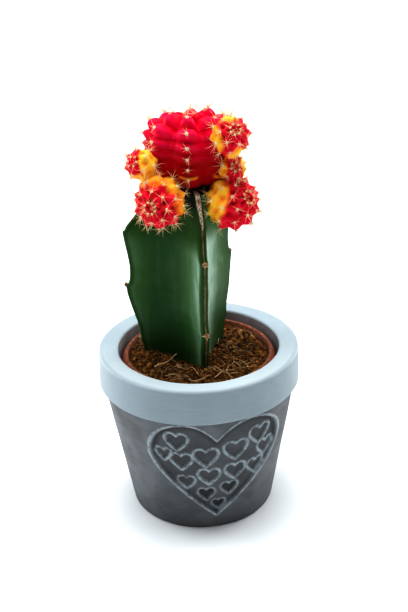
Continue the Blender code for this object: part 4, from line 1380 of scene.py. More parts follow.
def face_sheen(index, t):
    """How much painted sheen the face after a wing gets, from that wing at 0 to the next at 1."""
    left = 0.46 * ease(t, 0.45, 1.0) + 0.36 * ease(-t, -0.32, 0.0)
    right = 1.0 - t + 0.2 * t * t
    return float((left, right, 0.0)[index])


def stock_sections(height, grow):
    """Rings round the rootstock at each height, how near each point is to a wing's edge,
    how far above its shoulder, and how much painted sheen its face gets."""
    columns = []
    edges = []
    overs = []
    sheens = []
    for index, wing in enumerate(WINGS):
        following = WINGS[(index + 1) % len(WINGS)]
        reach = wing_reach(wing, height) + grow
        over = height - wing["shoulder"] * MM
        half = EDGE_HALF + grow
        for turn in np.linspace(-90.0, 90.0, EDGE_POINTS):
            back = EDGE_ROUND * (1.0 - math.cos(math.radians(turn)))
            across = half * math.sin(math.radians(turn))
            columns.append(wing_point(wing, height, reach - back, across))
            edges.append(np.full(len(height), 1.0 - abs(across) / half))
            overs.append(over)
            sheens.append(np.zeros(len(height)))
        next_reach = wing_reach(following, height) + grow
        web = WEB_HALF + grow
        start = wing_point(wing, height, reach - EDGE_ROUND, half)
        pull_a = wing_point(wing, height, WEB_REACH * reach, web)
        pull_b = wing_point(following, height, WEB_REACH * next_reach, -web)
        end = wing_point(following, height, next_reach - EDGE_ROUND, -half)
        for step in range(1, FACE_POINTS + 1):
            t = step / (FACE_POINTS + 1)
            columns.append(bezier(start, pull_a, pull_b, end, t))
            edges.append(np.zeros(len(height)))
            overs.append(np.full(len(height), -1.0))
            sheens.append(np.full(len(height), face_sheen(index, t)))
    level = np.stack(columns, axis=1)
    upright = np.broadcast_to(height[:, None], level.shape[:2])
    rings = np.concatenate((level, upright[..., None]), axis=-1)
    return rings, np.stack(edges, axis=1), np.stack(overs, axis=1), np.stack(sheens, axis=1)


def rootstock_mesh():
    count = int((STOCK_TOP - SOIL_HEIGHT + STOCK_BURIED) / STOCK_PITCH)
    height = np.concatenate((
        np.linspace(STOCK_BASE, SOIL_HEIGHT - STOCK_BURIED, STOCK_BURIED_RINGS, endpoint=False),
        np.linspace(SOIL_HEIGHT - STOCK_BURIED, STOCK_TOP, count)))
    rings, edge, over, wax = stock_sections(height, 0.0)
    middle = Vector((*STOCK_AXIS, STOCK_BASE))
    top = Vector((*STOCK_AXIS, STOCK_TOP))
    mesh = ring_skin("winged_stock", rings, middle, top)
    roughen(mesh, 9.0 * MM, 0.22 * MM)
    roughen(mesh, 1.6 * MM, 0.05 * MM)
    mesh.set_sharp_from_angle(angle=math.radians(60.0))
    wandering = np.array([noise.noise(Vector((0.0, 0.0, z / WANDER_PITCH))) for z in height])
    margin = MARGIN_START + MARGIN_WANDER * wandering[:, None]
    mark(mesh, "margin", ease(edge, margin, margin + 0.22))
    cut = lerp(*SCAR_START, ease(over, 0.0, SCAR_WIDENING))
    above = ease(over, -0.6 * MM, 0.8 * MM)
    mark(mesh, "scar", ease(edge, cut, cut + 0.14) * above)
    mark(mesh, "scar_middle", ease(edge, lerp(cut, 1.0, 0.45), lerp(cut, 1.0, 0.75)) * above)
    # where the painted sheen falls on the faces
    mark(mesh, "wax", ease(wax, 0.0, 0.95) * (1.0 - ease(wax, 0.96, 1.0)))
    # where the painted rim light falls, beside the wings' edges
    mark(mesh, "rim", ease(edge, 0.0, 0.10) * (1.0 - ease(edge, 0.22, 0.5)))
    return mesh


def stock_finish(stock):
    """Green skin with bloom, a painted sheen beside the front wing, painted rim light by the edges,
    painted shade under the heads, corky edges and dried scars.
    """
    sheen_edge = (0.10, 0.25, 0.055)
    low_skin = (0.010, 0.034, 0.006)
    shaded_skin = (0.012, 0.034, 0.003)
    speck = (0.11, 0.17, 0.11)
    black = (0.003, 0.004, 0.002)
    rim_light = (0.07, 0.12, 0.03)
    dried_dark = (0.30, 0.22, 0.13)
    dried_light = (0.66, 0.58, 0.46)
    dried_groove = (0.11, 0.055, 0.026)
    finish = Finish("waxy_green_skin", {"Specular IOR Level": 0.08})
    z = finish.split(finish.place)[2]
    streaks = finish.cloud(3.4 * MM, 4.0, finish.stretched(1.0, 1.0, 0.10), 0.8)
    patches = finish.cloud(13.0 * MM, 4.0, distortion=0.5)
    speckle = finish.cells(0.9 * MM).ease(0.12, 0.03)
    # painted shade under the heads: the skin darkens and its bloom and sheen fade
    shaded = (z + (patches - 0.5) * (8.0 * MM)).ease(112.5 * MM, 124.0 * MM)
    bloom = (streaks * 0.6 + patches * 0.5).ease(0.45, 0.90) * (0.4 - shaded * 0.4)
    # the skin is darker towards the soil
    towards_soil = z.ease(96.0 * MM, 68.0 * MM)
    skin = finish.mix(bloom, stock.skin, stock.bloom)
    # painted sheen: a pale reflection beside the front wing and a lighter band by the left wing
    wax = finish.attribute("wax") * (streaks * 0.7 + patches * 0.9 + 0.2) * (1.0 - shaded * 0.92)
    tint = finish.mix(wax.ease(0.15, 0.60), sheen_edge, stock.wax)
    skin = finish.mix(wax * (1.0 - towards_soil * 0.25), skin, tint)
    skin = finish.mix(towards_soil * 0.4, skin, low_skin)
    skin = finish.mix(shaded * 0.7, skin, shaded_skin)
    skin = finish.mix(speckle * 0.20, skin, speck)
    # painted shade: nearly black just under the heads
    dark = (z + (patches - 0.5) * (3.0 * MM)).ease(131.5 * MM, 134.0 * MM)
    skin = finish.mix(dark * 0.95, skin, black)
    fibres = finish.cloud(0.5 * MM, 4.0, finish.stretched(1.0, 1.0, 0.12))
    cork = finish.mix(fibres.ease(0.35, 0.65), toned(stock.cork, 0.45), toned(stock.cork, 1.6))
    margin = finish.attribute("margin") * finish.cloud(2.4 * MM, 3.0).ease(0.25, 0.42)
    # painted rim light: a lighter band along the wings' edges
    skin = finish.mix(finish.attribute("rim") * 0.20, skin, rim_light)
    skin = finish.mix(margin * 0.92, skin, cork)
    dried = finish.mix(fibres.ease(0.36, 0.6), dried_dark, dried_light)
    grooved = finish.attribute("scar_middle") * fibres.ease(0.62, 0.42)
    dried = finish.mix(grooved, dried, dried_groove)
    scar = finish.attribute("scar")
    skin = finish.mix(scar, skin, dried)
    woody = margin.most(scar)
    height = patches * 0.5 + fibres * woody * 1.2
    roughness = woody * 0.4 + (0.46 - bloom * 0.06) + shaded * 0.5
    return finish.show(Base_Color=skin, Roughness=roughness,
                       Normal=finish.bump(height, 0.22 * MM, 0.7))


def shadow_lump_mesh():
    """A dark lump round the graft, low between the rootstock and the head, that stands in for the
    shadow there as painted shade.
    """
    turns = np.radians(np.linspace(-SHADOW_LUMP_POLE, SHADOW_LUMP_POLE, SHADOW_LUMP_RINGS))
    profile = np.stack((SHADOW_LUMP_RADIUS * np.cos(turns),
                        SHADOW_LUMP_CENTRE.z + SHADOW_LUMP_HALF_HEIGHT * np.sin(turns)), axis=-1)
    rings = turned_rings(profile, np.arange(0.0, 360.0, SHADOW_LUMP_STEP))
    rings[..., 0] += SHADOW_LUMP_CENTRE.x
    rings[..., 1] += SHADOW_LUMP_CENTRE.y
    end = Vector((0.0, 0.0, SHADOW_LUMP_HALF_HEIGHT))
    mesh = ring_skin("graft_shadow_lump", rings, SHADOW_LUMP_CENTRE - end, SHADOW_LUMP_CENTRE + end)
    roughen(mesh, 2.0 * MM, 0.35 * MM)
    return mesh


def shadow_lump_finish():
    # painted shadow: the lump is near-black with dark brown knots
    black = (0.004, 0.003, 0.002)
    brown = (0.030, 0.020, 0.012)
    finish = Finish("dried_callus", {"Specular IOR Level": 0.05})
    knots = finish.cloud(1.2 * MM, 4.0, distortion=0.6)
    skin = finish.mix(knots.ease(0.45, 0.75), black, brown)
    return finish.show(Base_Color=skin, Roughness=0.95,
                       Normal=finish.bump(knots, 0.3 * MM))


def stock_areoles(draw):
    """Places, aims and sizes of the areoles along the wings' edges."""
    found = []
    for wing in WINGS:
        level = wing["areole"] * MM
        while level > SOIL_HEIGHT + STOCK_BARE:
            height = np.array([level])
            reach = wing_reach(wing, height) - STOCK_AREOLE_SEAT
            edge = wing_point(wing, height, reach, 0.0)[0]
            aim = outward(float(wing_azimuth(wing, height)[0]))
            found.append((Vector((*edge, level)), aim, draw.uniform(*STOCK_AREOLES) * MM))
            level -= wing["pitch"] * MM
    return found


def knob_finish(stock):
    finish = Finish("corky_knobs", {"Specular IOR Level": 0.3})
    grain = finish.cloud(0.5 * MM, 4.0)
    skin = finish.mix(grain.ease(0.3, 0.7), toned(stock.cork, 0.5), toned(stock.cork, 1.9))
    return finish.show(Base_Color=skin, Roughness=0.9,
                       Normal=finish.bump(grain, 0.3 * MM))


class CACTUS_OT_rootstock(bpy.types.Operator):
    """Builds the winged rootstock with its corky edges and knobs"""
    bl_idname = "cactus.rootstock"
    bl_label = "Rootstock"

    def execute(self, context):
        stock = context.scene.cactus_stock
        heads = context.scene.cactus_heads
        obj = add_object("winged_stock", rootstock_mesh(), stock_finish(stock))
        place_piece(obj, "green_stem", "rootstock")
        draw = random.Random(STOCK_SEED)
        areoles = stock_areoles(draw)
        knobs = points_object("stock_knobs", [place for place, aim, size in areoles],
                              {"size": [size for place, aim, size in areoles]},
                              {"aim": [aim for place, aim, size in areoles]})
        cushion_shape().grow(knobs, knob_finish(stock), {"Segments": 14, "Rings": 9})
        place_piece(knobs, "green_stem")
        spines = fan_of_spines("stock_spines", areoles, draw, STOCK_SPINES,
                               STOCK_SPINE_REACH, STOCK_TILTS, 0.0)
        strand_shape().grow(spines, spine_finish("stock_spines", heads), {
            "Slenderness": 0.075, "Tip": 0.2, "Bow": 0.08})
        place_piece(spines, "green_stem")
        place_piece(add_object("graft_shadow_lump", shadow_lump_mesh(), shadow_lump_finish()), "green_stem")
        return {"FINISHED"}


# ---------------------------------------------------------------- mother head

def ribbed_globe_shape():
    """A low, leaning globe of ribs whose chins carry the areoles, flat underneath."""
    shape = Shape("ribbed_globe", (
        ("Radius", NUMBER, 17.0 * MM), ("Flat", NUMBER, 12.35 * MM), ("Rise", NUMBER, 1.0),
        ("Shoulder", NUMBER, 0.0), ("Lean Right", NUMBER, 0.0), ("Lean Back", NUMBER, 0.0),
        ("Ribs", NUMBER, 8.0), ("Turn", NUMBER, 0.0), ("Crowding", NUMBER, 0.0),
        ("Helix", NUMBER, 0.0), ("Furrow Top", NUMBER, 0.24),
        ("Furrow Waist", NUMBER, 0.07), ("Chin Top", NUMBER, 0.175),
        ("Chin Waist", NUMBER, 0.055), ("Crown Sink", NUMBER, 0.03),
        ("Wrinkle", NUMBER, 0.003), ("Columns", WHOLE, 288), ("Rows", WHOLE, 170)))
    ball = shape.node("GeometryNodeMeshUVSphere", values={
        "Segments": shape.given("Columns"), "Rings": shape.given("Rows"), "Radius": 1.0})
    x, y, z = shape.split(shape.node("GeometryNodeInputPosition"))
    azimuth = x.worked("ARCTAN2", x, -y) - shape.given("Turn")
    latitude = z.most(-1.0).least(1.0).worked("ARCSINE", z)
    degrees = latitude * math.degrees(1.0)
    gaps = len(CHIN_STOPS) - 1
    curve = [((stop + 90.0) / 180.0, index / gaps) for index, stop in enumerate(CHIN_STOPS)]
    count = shape.node("ShaderNodeFloatCurve", {"curve": curve},
                       {"Value": (degrees + 90.0) / 180.0}) * gaps - LOWEST_CHIN
    row = count - azimuth * shape.given("Helix") / (2.0 * math.pi)
    top = degrees.ease(5.0, 45.0)
    # chins: narrow round the waist, broad and round on top, none at the foot and the apex
    ends = degrees.ease(-50.0, -30.0) * (1.0 - degrees.ease(66.0, 88.0))
    wave = ((row + 0.03) * math.pi).cosine() ** 2.0
    chins = (wave + top * (wave ** 0.42 - wave)) * ends
    # ribs: 1 on a crest, and a hollow between them that runs out at the apex
    crest = (azimuth * shape.given("Ribs")).cosine() * 0.5 + 0.5
    hollow = (1.0 - crest) ** (2.4 - top * 0.35) * (90.0 - degrees).ease(2.0, 18.0)
    waist = shape.given("Furrow Waist")
    furrow = waist + degrees.ease(-10.0, 65.0) * (shape.given("Furrow Top") - waist)
    waist = shape.given("Chin Waist")
    chin = waist + top * (shape.given("Chin Top") - waist)
    bulge = chin * (crest ** (1.5 - top) * 0.85 + 0.15) * chins - CHIN_SEAT
    wrinkles = shape.given("Wrinkle") * (row * (6.0 * math.pi)).sine() * (1.0 - crest)
    sink = shape.given("Crown Sink") * degrees.ease(48.0, 90.0)
    radius = shape.given("Radius") * (1.0 - furrow * hollow + bulge + wrinkles - sink)
    # the globe is pressed low, broad on top and leaning, and flat underneath
    spread = azimuth + shape.given("Turn") + (
        shape.given("Crowding") * (azimuth * 2.0).sine())
    up = latitude.sine().most(0.0)
    level = radius * latitude.cosine() * (up * up * shape.given("Shoulder") + 1.0)
    right = level * spread.sine()
    back = -(level * spread.cosine())
    lean = up * (right * shape.given("Lean Right") + back * shape.given("Lean Back"))
    height = (radius * latitude.sine()).most(-shape.given("Flat"))
    height = height.least(height * shape.given("Rise")) + lean
    ball = shape.keep(ball, "crest", crest)
    ball = shape.keep(ball, "chin", chins)
    ball = shape.keep(ball, "row", row)
    return shape.finish(shape.node("GeometryNodeSetPosition", values={
        "Geometry": ball, "Position": shape.vector(right, back, height)}))


def chin_latitude(count):
    """The latitude at a count of areoles up the front rib."""
    index = min(math.floor(count) + LOWEST_CHIN, len(CHIN_STOPS) - 2)
    share = count + LOWEST_CHIN - index
    return lerp(CHIN_STOPS[index], CHIN_STOPS[index + 1], share)


def pressed(direction):
    """Where the mother head's globe goes once it is low, broad and leaning on top."""
    if direction.z <= 0.0:
        return direction
    up = direction.z / direction.length
    level = Vector((direction.x, direction.y, 0.0)) * (1.0 + MOTHER_SHOULDER * up * up)
    lean = up * (MOTHER_LEAN[0] * level.x + MOTHER_LEAN[1] * level.y)
    return level + Vector((0.0, 0.0, direction.z * MOTHER_RISE + lean))


def crowded(azimuth):
    return azimuth + RIB_CROWDING * math.sin(math.radians(2 * (azimuth - MOTHER_TURN)))


def surface_place(obj, centre, direction, reach):
    """Where a ray towards the centre first meets a piece, and the surface's normal."""
    found, place, normal = obj.ray_cast(centre + direction * reach, -direction)[:3]
    if not found:
        raise RuntimeError(f"{obj.name} has no surface towards {tuple(direction)}")
    return place, normal


def mother_finish(heads):
    """Crimson skin, deeper red low down and darker there as painted shade, rosy with a painted
    highlight on the upper chins, painted shade in the furrows and at the foot, with amber marks
    beside the lowest areoles.
    """
    rosy_and_highlight = (0.84, 0.012, 0.11)
    furrow_shade = (0.42, 0.0, 0.004)
    amber = (0.76, 0.22, 0.016)
    black = (0.010, 0.001, 0.001)
    finish = Finish("crimson_skin", {
        "Specular IOR Level": 0.04, "Subsurface Weight": 0.12,
        "Subsurface Radius": (1.0, 0.25, 0.12), "Subsurface Scale": 1.6 * MM})
    z = finish.split(finish.place)[2]
    crest = finish.attribute("crest")
    chin = finish.attribute("chin")
    patches = finish.cloud(6.0 * MM, 4.0, distortion=0.4)
    bands = finish.cloud(1.7 * MM, 3.0, finish.stretched(0.25, 0.25, 1.4), 0.5)
    # lighter crimson on top and deeper red below: partly the skin's own colour, partly painted
    # shade
    upper = z.ease(144.0 * MM, 166.0 * MM)
    skin = finish.mix((upper + (patches - 0.5) * 0.5).ease(0.0, 1.0), heads.deep_red,
                      heads.crimson)
    # pinker upper chins: partly their own colour, partly a painted highlight
    plump = chin.ease(0.3, 1.0) * z.ease(146.0 * MM, 160.0 * MM) * (bands * 0.4 + 0.3)
    skin = finish.mix(plump, skin, rosy_and_highlight)
    # painted shade in the furrows between the ribs
    skin = finish.mix((1.0 - crest).ease(0.55, 1.0) * 0.35, skin, furrow_shade)
    wing = swelling(finish.attribute("row") - (1.0 - crest) * 0.12, 0.08, 0.24)
    marked = wing.ease(0.2, 0.8) * crest.ease(0.30, 0.70)
    skin = finish.mix(marked * (patches * 0.6 + 0.65), skin, amber)
    # painted shade: nearly black at the head's flat foot
    under = (z + (patches - 0.5) * (1.5 * MM)).ease(140.6 * MM, 138.8 * MM)
    skin = finish.mix(under * 0.95, skin, black)
    grain = finish.cloud(0.45 * MM, 3.0)
    return finish.show(Base_Color=skin, Roughness=patches * 0.14 + 0.34,
                       Normal=finish.bump(grain * 0.5 + bands * 0.8, 0.14 * MM, 0.6))


def mother_areoles(obj, draw):
    found = []
    for rib in range(MOTHER_RIBS):
        azimuth = crowded(MOTHER_TURN + rib * 360.0 / MOTHER_RIBS)
        climb = MOTHER_HELIX * rib / MOTHER_RIBS % 1.0
        for step in range(len(CHIN_STOPS) - LOWEST_CHIN - 1):
            latitude = math.radians(chin_latitude(step + climb))
            direction = outward(azimuth) * math.cos(latitude)
            direction.z = math.sin(latitude)
            direction = pressed(direction).normalized()
            place, normal = surface_place(obj, MOTHER_CENTRE, direction, 2 * MOTHER_RADIUS)
            low = place.z < STOCK_TOP + LOWEST_AREOLE
            if not low and is_clear("mother", place, MOTHER_CLEARANCE):
                aim = (direction + normal).normalized()
                youth = MOTHER_YOUNG if step + climb > HIGHEST_OLD_CHIN else 1.0
                found.append((place, aim, youth * draw.uniform(*MOTHER_AREOLES) * MM))
    return found


class CACTUS_OT_mother_head(bpy.types.Operator):
    """Builds the ribbed red head with its wool and spines"""
    bl_idname = "cactus.mother_head"
    bl_label = "Mother Head"

    def execute(self, context):
        heads = context.scene.cactus_heads
        obj = points_object("ribbed_head", [(0.0, 0.0, 0.0)], {}, {})
        ribbed_globe_shape().grow(obj, mother_finish(heads), {
            "Radius": MOTHER_RADIUS, "Flat": MOTHER_FLAT, "Ribs": float(MOTHER_RIBS),
            "Rise": MOTHER_RISE, "Shoulder": MOTHER_SHOULDER,
            "Lean Right": MOTHER_LEAN[0], "Lean Back": MOTHER_LEAN[1],
            "Turn": math.radians(MOTHER_TURN), "Crowding": math.radians(RIB_CROWDING),
            "Helix": float(MOTHER_HELIX)})
        obj.data.transform(Matrix.Translation(MOTHER_CENTRE))
        roughen(obj.data, 5.0 * MM, 0.16 * MM)
        bpy.context.view_layer.update()
        place_piece(obj, "crimson_flesh", "mother_head")
        draw = random.Random(MOTHER_SEED)
        dress_areoles("mother", mother_areoles(obj, draw), heads, draw,
                      heads.mother_spine, 1.0, "crimson_flesh")
        return {"FINISHED"}


# ---------------------------------------------------------------- offsets

def knobbed_globe_shape():
    """A globe of staggered tubercles with a sunk apex, its axis along Z."""
    shape = Shape("knobbed_globe", (
        ("Radius", NUMBER, 8.0 * MM), ("Ribs", NUMBER, 8.0), ("First Row", NUMBER, 13.0),
        ("Row Pitch", NUMBER, 24.0), ("Tubercle", NUMBER, 0.28),
        ("Sunk Apex", NUMBER, 0.07), ("Columns", WHOLE, 128), ("Rows", WHOLE, 96)))
    ball = shape.node("GeometryNodeMeshUVSphere", values={
        "Segments": shape.given("Columns"), "Rings": shape.given("Rows"), "Radius": 1.0})
    position = shape.node("GeometryNodeInputPosition")
    x, y, z = shape.split(position)
    azimuth = x.worked("ARCTAN2", x, -y)
    polar = z.most(-1.0).least(1.0).worked("ARCCOSINE", z) * math.degrees(1.0)
    first = shape.given("First Row")
    row = (polar - first) / shape.given("Row Pitch")
    lattice = (azimuth * shape.given("Ribs")).cosine() * (row * math.pi).cosine()
    knob = (lattice * 0.5 + 0.5) ** 0.75
    fade = polar.ease(0.0, first) * (165.0 - polar).ease(0.0, 30.0)
    height = (knob - 0.5) * fade + 0.5
    sink = shape.given("Sunk Apex") * (1.0 - polar.ease(0.0, first + 8.0))
    tubercle = shape.given("Tubercle")
    radius = shape.given("Radius") * (1.0 - tubercle + tubercle * height - sink)
    place = shape.node("ShaderNodeVectorMath", {"operation": "SCALE"},
                       {0: position, "Scale": radius})
    ball = shape.keep(ball, "knob", height)
    return shape.finish(shape.node("GeometryNodeSetPosition", values={
        "Geometry": ball, "Position": place}))


def grown_together(points, centre, other, radius, spread):
    """Draws a head's near side out until it meets another head."""
    towards = (other - centre).normalized()
    out = points - np.array(centre)
    distance = np.linalg.norm(out, axis=1, keepdims=True)
    facing = (out / distance) @ np.array(towards)
    missing = (other - centre).length - JOIN_DEPTH * radius
    longer = np.maximum(missing - distance[:, 0], 0.0) * ease(facing, *spread)
    return points + out / distance * longer[:, None]


def joined_points(points, centre, head):
    """An offset's points, grown out to the mother head and to offsets that it touches."""
    points = grown_together(points, centre, MOTHER_CENTRE, MOTHER_RADIUS, MOTHER_JOIN)
    for other in OFFSETS:
        apart = Vector(other["centre"]) * MM - centre
        gap = apart.length / MM - other["radius"] - head["radius"]
        if other is not head and gap < OFFSET_GAP:
            points = grown_together(points, centre, Vector(other["centre"]) * MM,
                                    other["radius"] * MM, OFFSET_JOIN)
    return points


def filled_out(points, centre, head, share):
    """Fills the hollows between the knobs where an offset is plump and golden."""
    out = points - np.array(centre)
    distance = np.linalg.norm(out, axis=1)
    plump = PLUMP_RADIUS * head["radius"] * MM
    fuller = distance + GOLD_FILLING * share * np.maximum(plump - distance, 0.0)
    return np.array(centre) + out * (fuller / distance)[:, None]


def golden_share(points, centre, head):
    """How golden an offset's skin is, from the sides that are."""
    out = points - np.array(centre)
    out /= np.linalg.norm(out, axis=1, keepdims=True)
    share = np.zeros(len(points))
    for side, start, full in head["gold"]:
        facing = out @ np.array(Vector(side).normalized())
        share = np.maximum(share, ease(facing, start, full))
    return share * head["ripeness"]


def offset_finish(heads):
    """Crimson skin that turns orange and gold where it is marked golden, with painted shade in its
    hollows and under the mother head.
    """
    scarlet = (0.60, 0.008, 0.012)
    hollow_shade_red = (0.33, 0.002, 0.002)
    hollow_shade_gold = (0.95, 0.27, 0.012)
    orange = (0.88, 0.13, 0.008)
    shaded_skin = (0.20, 0.018, 0.002)
    finish = Finish("red_golden_skin", {
        "Specular IOR Level": 0.09, "Subsurface Weight": 0.15,
        "Subsurface Radius": (1.0, 0.35, 0.12), "Subsurface Scale": 1.4 * MM})
    knob = finish.attribute("knob")
    patches = finish.cloud(3.2 * MM, 3.0, distortion=0.3)
    golden = finish.attribute("gold") + (patches - 0.5) * 0.7
    red = finish.mix(patches.ease(0.3, 0.6), scarlet, heads.crimson)
    # painted shade in the hollows between the tubercles, red on red sides and orange on golden ones
    red = finish.mix((1.0 - knob).ease(0.55, 1.0) * 0.5, red, hollow_shade_red)
    gold = finish.mix((knob + (patches - 0.5) * 1.2).ease(0.0, 0.75), hollow_shade_gold, heads.gold)
    skin = finish.mix(golden.ease(0.10, 0.45), red, orange)
    skin = finish.mix(golden.ease(0.30, 0.80), skin, gold)
    x, y, z = finish.split(finish.place)
    # painted shade under the mother head
    away = ((x - UNDER_HEAD[0]) ** 2.0 + (y - UNDER_HEAD[1]) ** 2.0) ** 0.5
    under = away.ease(9.0 * MM, 4.0 * MM) * z.ease(140.0 * MM, 136.0 * MM)
    skin = finish.mix(under * 0.75, skin, shaded_skin)
    grain = finish.cloud(0.4 * MM, 3.0)
    return finish.show(Base_Color=skin, Roughness=patches * 0.12 + 0.32,
                       Normal=finish.bump(grain, 0.10 * MM, 0.6))


def offset_areoles(obj, head, centre, turn, draw):
    found = []
    for row in range(head["rows"]):
        polar = math.radians(head["first"] + row * head["pitch"])
        for rib in range(head["ribs"]):
            azimuth = (rib + 0.5 * (row % 2)) * 360.0 / head["ribs"]
            direction = outward(azimuth) * math.sin(polar)
            direction.z = math.cos(polar)
            direction = turn @ direction
            place, normal = surface_place(obj, centre, direction, 2 * head["radius"] * MM)
            if is_clear(head["name"], place, OFFSET_CLEARANCE):
                aim = (direction + normal).normalized()
                youth = OFFSET_YOUNG if row == 0 else 1.0
                found.append((place, aim, youth * draw.uniform(*OFFSET_AREOLES) * MM))
    return found


class CACTUS_OT_offsets(bpy.types.Operator):
    """Builds the offsets round the mother head, with their wool and spines"""
    bl_idname = "cactus.offsets"
    bl_label = "Offsets"

    def execute(self, context):
        heads = context.scene.cactus_heads
        shape = knobbed_globe_shape()
        material = offset_finish(heads)
        draw = random.Random(OFFSET_SEED)
        areoles = []
        for head in OFFSETS:
            centre = Vector(head["centre"]) * MM
            turn = Vector((0, 0, 1)).rotation_difference(Vector(head["apex"]).normalized())
            obj = points_object("knobbed_" + head["name"], [(0.0, 0.0, 0.0)], {}, {})
            shape.grow(obj, material, {
                "Radius": head["radius"] * MM, "Ribs": float(head["ribs"]),
                "First Row": head["first"], "Row Pitch": head["pitch"],
                "Columns": KNOB_COLUMNS * head["ribs"], "Rows": KNOB_ROWS * head["rows"]})
            obj.data.transform(Matrix.Translation(centre) @ turn.to_matrix().to_4x4())
            points = places(obj.data)
            share = golden_share(points, centre, head)
            points = joined_points(filled_out(points, centre, head, share), centre, head)
            obj.data.vertices.foreach_set("co", points.reshape(-1))
            obj.data.update()
            roughen(obj.data, 3.0 * MM, 0.16 * MM)
            mark(obj.data, "gold", share)
            bpy.context.view_layer.update()
            place_piece(obj, "offset_flesh", head["name"])
            areoles += offset_areoles(obj, head, centre, turn, draw)
        dress_areoles("offset", areoles, heads, draw, heads.offset_spine, 0.0, "offset_flesh")
        return {"FINISHED"}


# ---------------------------------------------------------------- stage

def softbox(name, place, size, power, tint):
    """A large soft light that faces the cactus."""
    light = bpy.data.lights.new(name, "AREA")
    light.shape = "RECTANGLE"
    light.size = size[0]
    light.size_y = size[1]
    light.energy = power
    light.color = tint
    obj = bpy.data.objects.new(name, light)
    obj.location = place
    towards = Vector(LIGHT_TARGET) - Vector(place)
    obj.rotation_euler = towards.to_track_quat("-Z", "Y").to_euler()
    bpy.context.scene.collection.objects.link(obj)


def studio_world():
    """Light from all round: strongest from above and behind, weak from the front."""
    world = bpy.data.worlds.new("studio")
    world.use_nodes = True
    tree = Tree(world.node_tree)
    x, y, z = tree.split(tree.node("ShaderNodeTexCoord", output="Generated"))
    sky = z.ease(0.50, 0.98) * (1.0 - (-y).ease(-0.2, 0.6) * 0.55)
    sides = (y * 0.8 + x.worked("ABSOLUTE", x) * 0.45).ease(0.2, 1.0)
    light = ROOM_LIGHT + sky * SKY_LIGHT + sides * SIDE_LIGHT
    seen = tree.node("ShaderNodeLightPath", output="Is Camera Ray")
    strength = light + (1.0 - light) * seen
    background = world.node_tree.nodes["Background"]
    background.inputs["Color"].default_value = ROOM_TINT
    tree.feed(background.inputs["Strength"], strength)
    bpy.context.scene.world = world


def floor_finish(stage):
    paper_white = (0.78, 0.79, 0.80)
    far_white = (0.88, 0.89, 0.89)
    finish = Finish("studio_floor", {"Specular IOR Level": 0.2})
    away = from_axis(*finish.split(finish.place)[:2])
    paper = finish.cloud(0.4 * MM, 2.0)
    # painted shadow: the floor is darker near the pot and fades to the evenly bright far floor
    near = finish.mix(paper * 0.1, stage.floor, paper_white)
    skin = finish.mix(away.ease(0.05, 0.35), near, far_white)
    return finish.show(Base_Color=skin, Roughness=0.8,
                       Normal=finish.bump(paper, 0.05 * MM, 0.3))


def floor_mesh():
    """A wide disc just under the pot."""
    radii = np.array(FLOOR_RADII)
    azimuths = np.arange(TURNED_STEPS) * 360.0 / TURNED_STEPS
    top = np.stack((radii, np.full(len(radii), FLOOR_TOP)), axis=-1)
    under = np.stack((radii[::-1], np.full(len(radii), FLOOR_UNDER)), axis=-1)
    rings = turned_rings(np.concatenate((top, under)), azimuths)
    mesh = ring_skin("floor", rings, (0, 0, FLOOR_TOP), (0, 0, FLOOR_UNDER))
    mesh.set_sharp_from_angle(angle=math.radians(30.0))
    return mesh


def add_camera(stage):
    lens = bpy.data.cameras.new("camera")
    lens.sensor_fit = "VERTICAL"
    lens.sensor_height = SENSOR_HEIGHT
    lens.lens = stage.lens
    lens.clip_start = CLIP_START
    camera = bpy.data.objects.new("camera", lens)
    bpy.context.scene.collection.objects.link(camera)
    back = Vector((0.0, -math.cos(math.radians(CAMERA_ELEVATION)),
                   math.sin(math.radians(CAMERA_ELEVATION))))
    level = (-back).to_track_quat("-Z", "Y")
    roll = Matrix.Rotation(math.radians(CAMERA_ROLL), 4, back)
    camera.matrix_world = (Matrix.Translation(CAMERA_TARGET + back * stage.distance)
                           @ roll @ level.to_matrix().to_4x4())
    bpy.context.scene.camera = camera


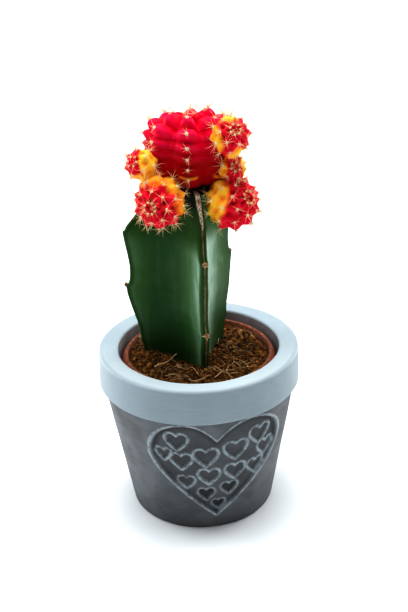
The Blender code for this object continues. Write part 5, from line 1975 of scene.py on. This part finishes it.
class CACTUS_OT_stage(bpy.types.Operator):
    """Sets the floor, lights and camera"""
    bl_idname = "cactus.stage"
    bl_label = "Stage"

    def execute(self, context):
        stage = context.scene.cactus_stage
        floor = add_object("floor", floor_mesh(), floor_finish(stage))
        studio_world()
        for light in LIGHTS:
            softbox(*light)
        view = context.scene.view_settings
        view.view_transform = "Standard"
        view.look = "None"
        view.gamma = VIEW_GAMMA
        view.exposure = VIEW_EXPOSURE
        add_camera(stage)
        return {"FINISHED"}


# ---------------------------------------------------------------- panel and running

class CACTUS_PT_panel(bpy.types.Panel):
    """Lists the steps that build the cactus"""
    bl_idname = "CACTUS_PT_panel"
    bl_label = "Grafted Moon Cactus"
    bl_space_type = "VIEW_3D"
    bl_region_type = "UI"
    bl_category = "Cactus"

    def draw(self, context):
        for step in STEPS:
            self.layout.operator(step.bl_idname)
        for label in SETTINGS:
            box = self.layout.box()
            settings = getattr(context.scene, label)
            for name in settings.bl_rna.properties.keys():
                if name not in ("rna_type", "name"):
                    box.prop(settings, name)


SETTINGS = {
    "cactus_pot": CastPotSettings,
    "cactus_soil": SoilSettings,
    "cactus_stock": RootstockSettings,
    "cactus_heads": HeadSettings,
    "cactus_stage": StageSettings,
}
STEPS = (
    CACTUS_OT_cast_pot, CACTUS_OT_nursery_pot, CACTUS_OT_soil, CACTUS_OT_rootstock,
    CACTUS_OT_mother_head, CACTUS_OT_offsets, CACTUS_OT_stage,
)


def register():
    for label, settings in SETTINGS.items():
        bpy.utils.register_class(settings)
        setattr(bpy.types.Scene, label, PointerProperty(type=settings))
    for step in STEPS:
        bpy.utils.register_class(step)
    bpy.utils.register_class(CACTUS_PT_panel)


def unregister():
    bpy.utils.unregister_class(CACTUS_PT_panel)
    for step in reversed(STEPS):
        bpy.utils.unregister_class(step)
    for label, settings in reversed(SETTINGS.items()):
        delattr(bpy.types.Scene, label)
        bpy.utils.unregister_class(settings)


def main():
    register()
    for step in STEPS:
        group, name = step.bl_idname.split(".")
        getattr(getattr(bpy.ops, group), name)()


if __name__ == "__main__":
    main()
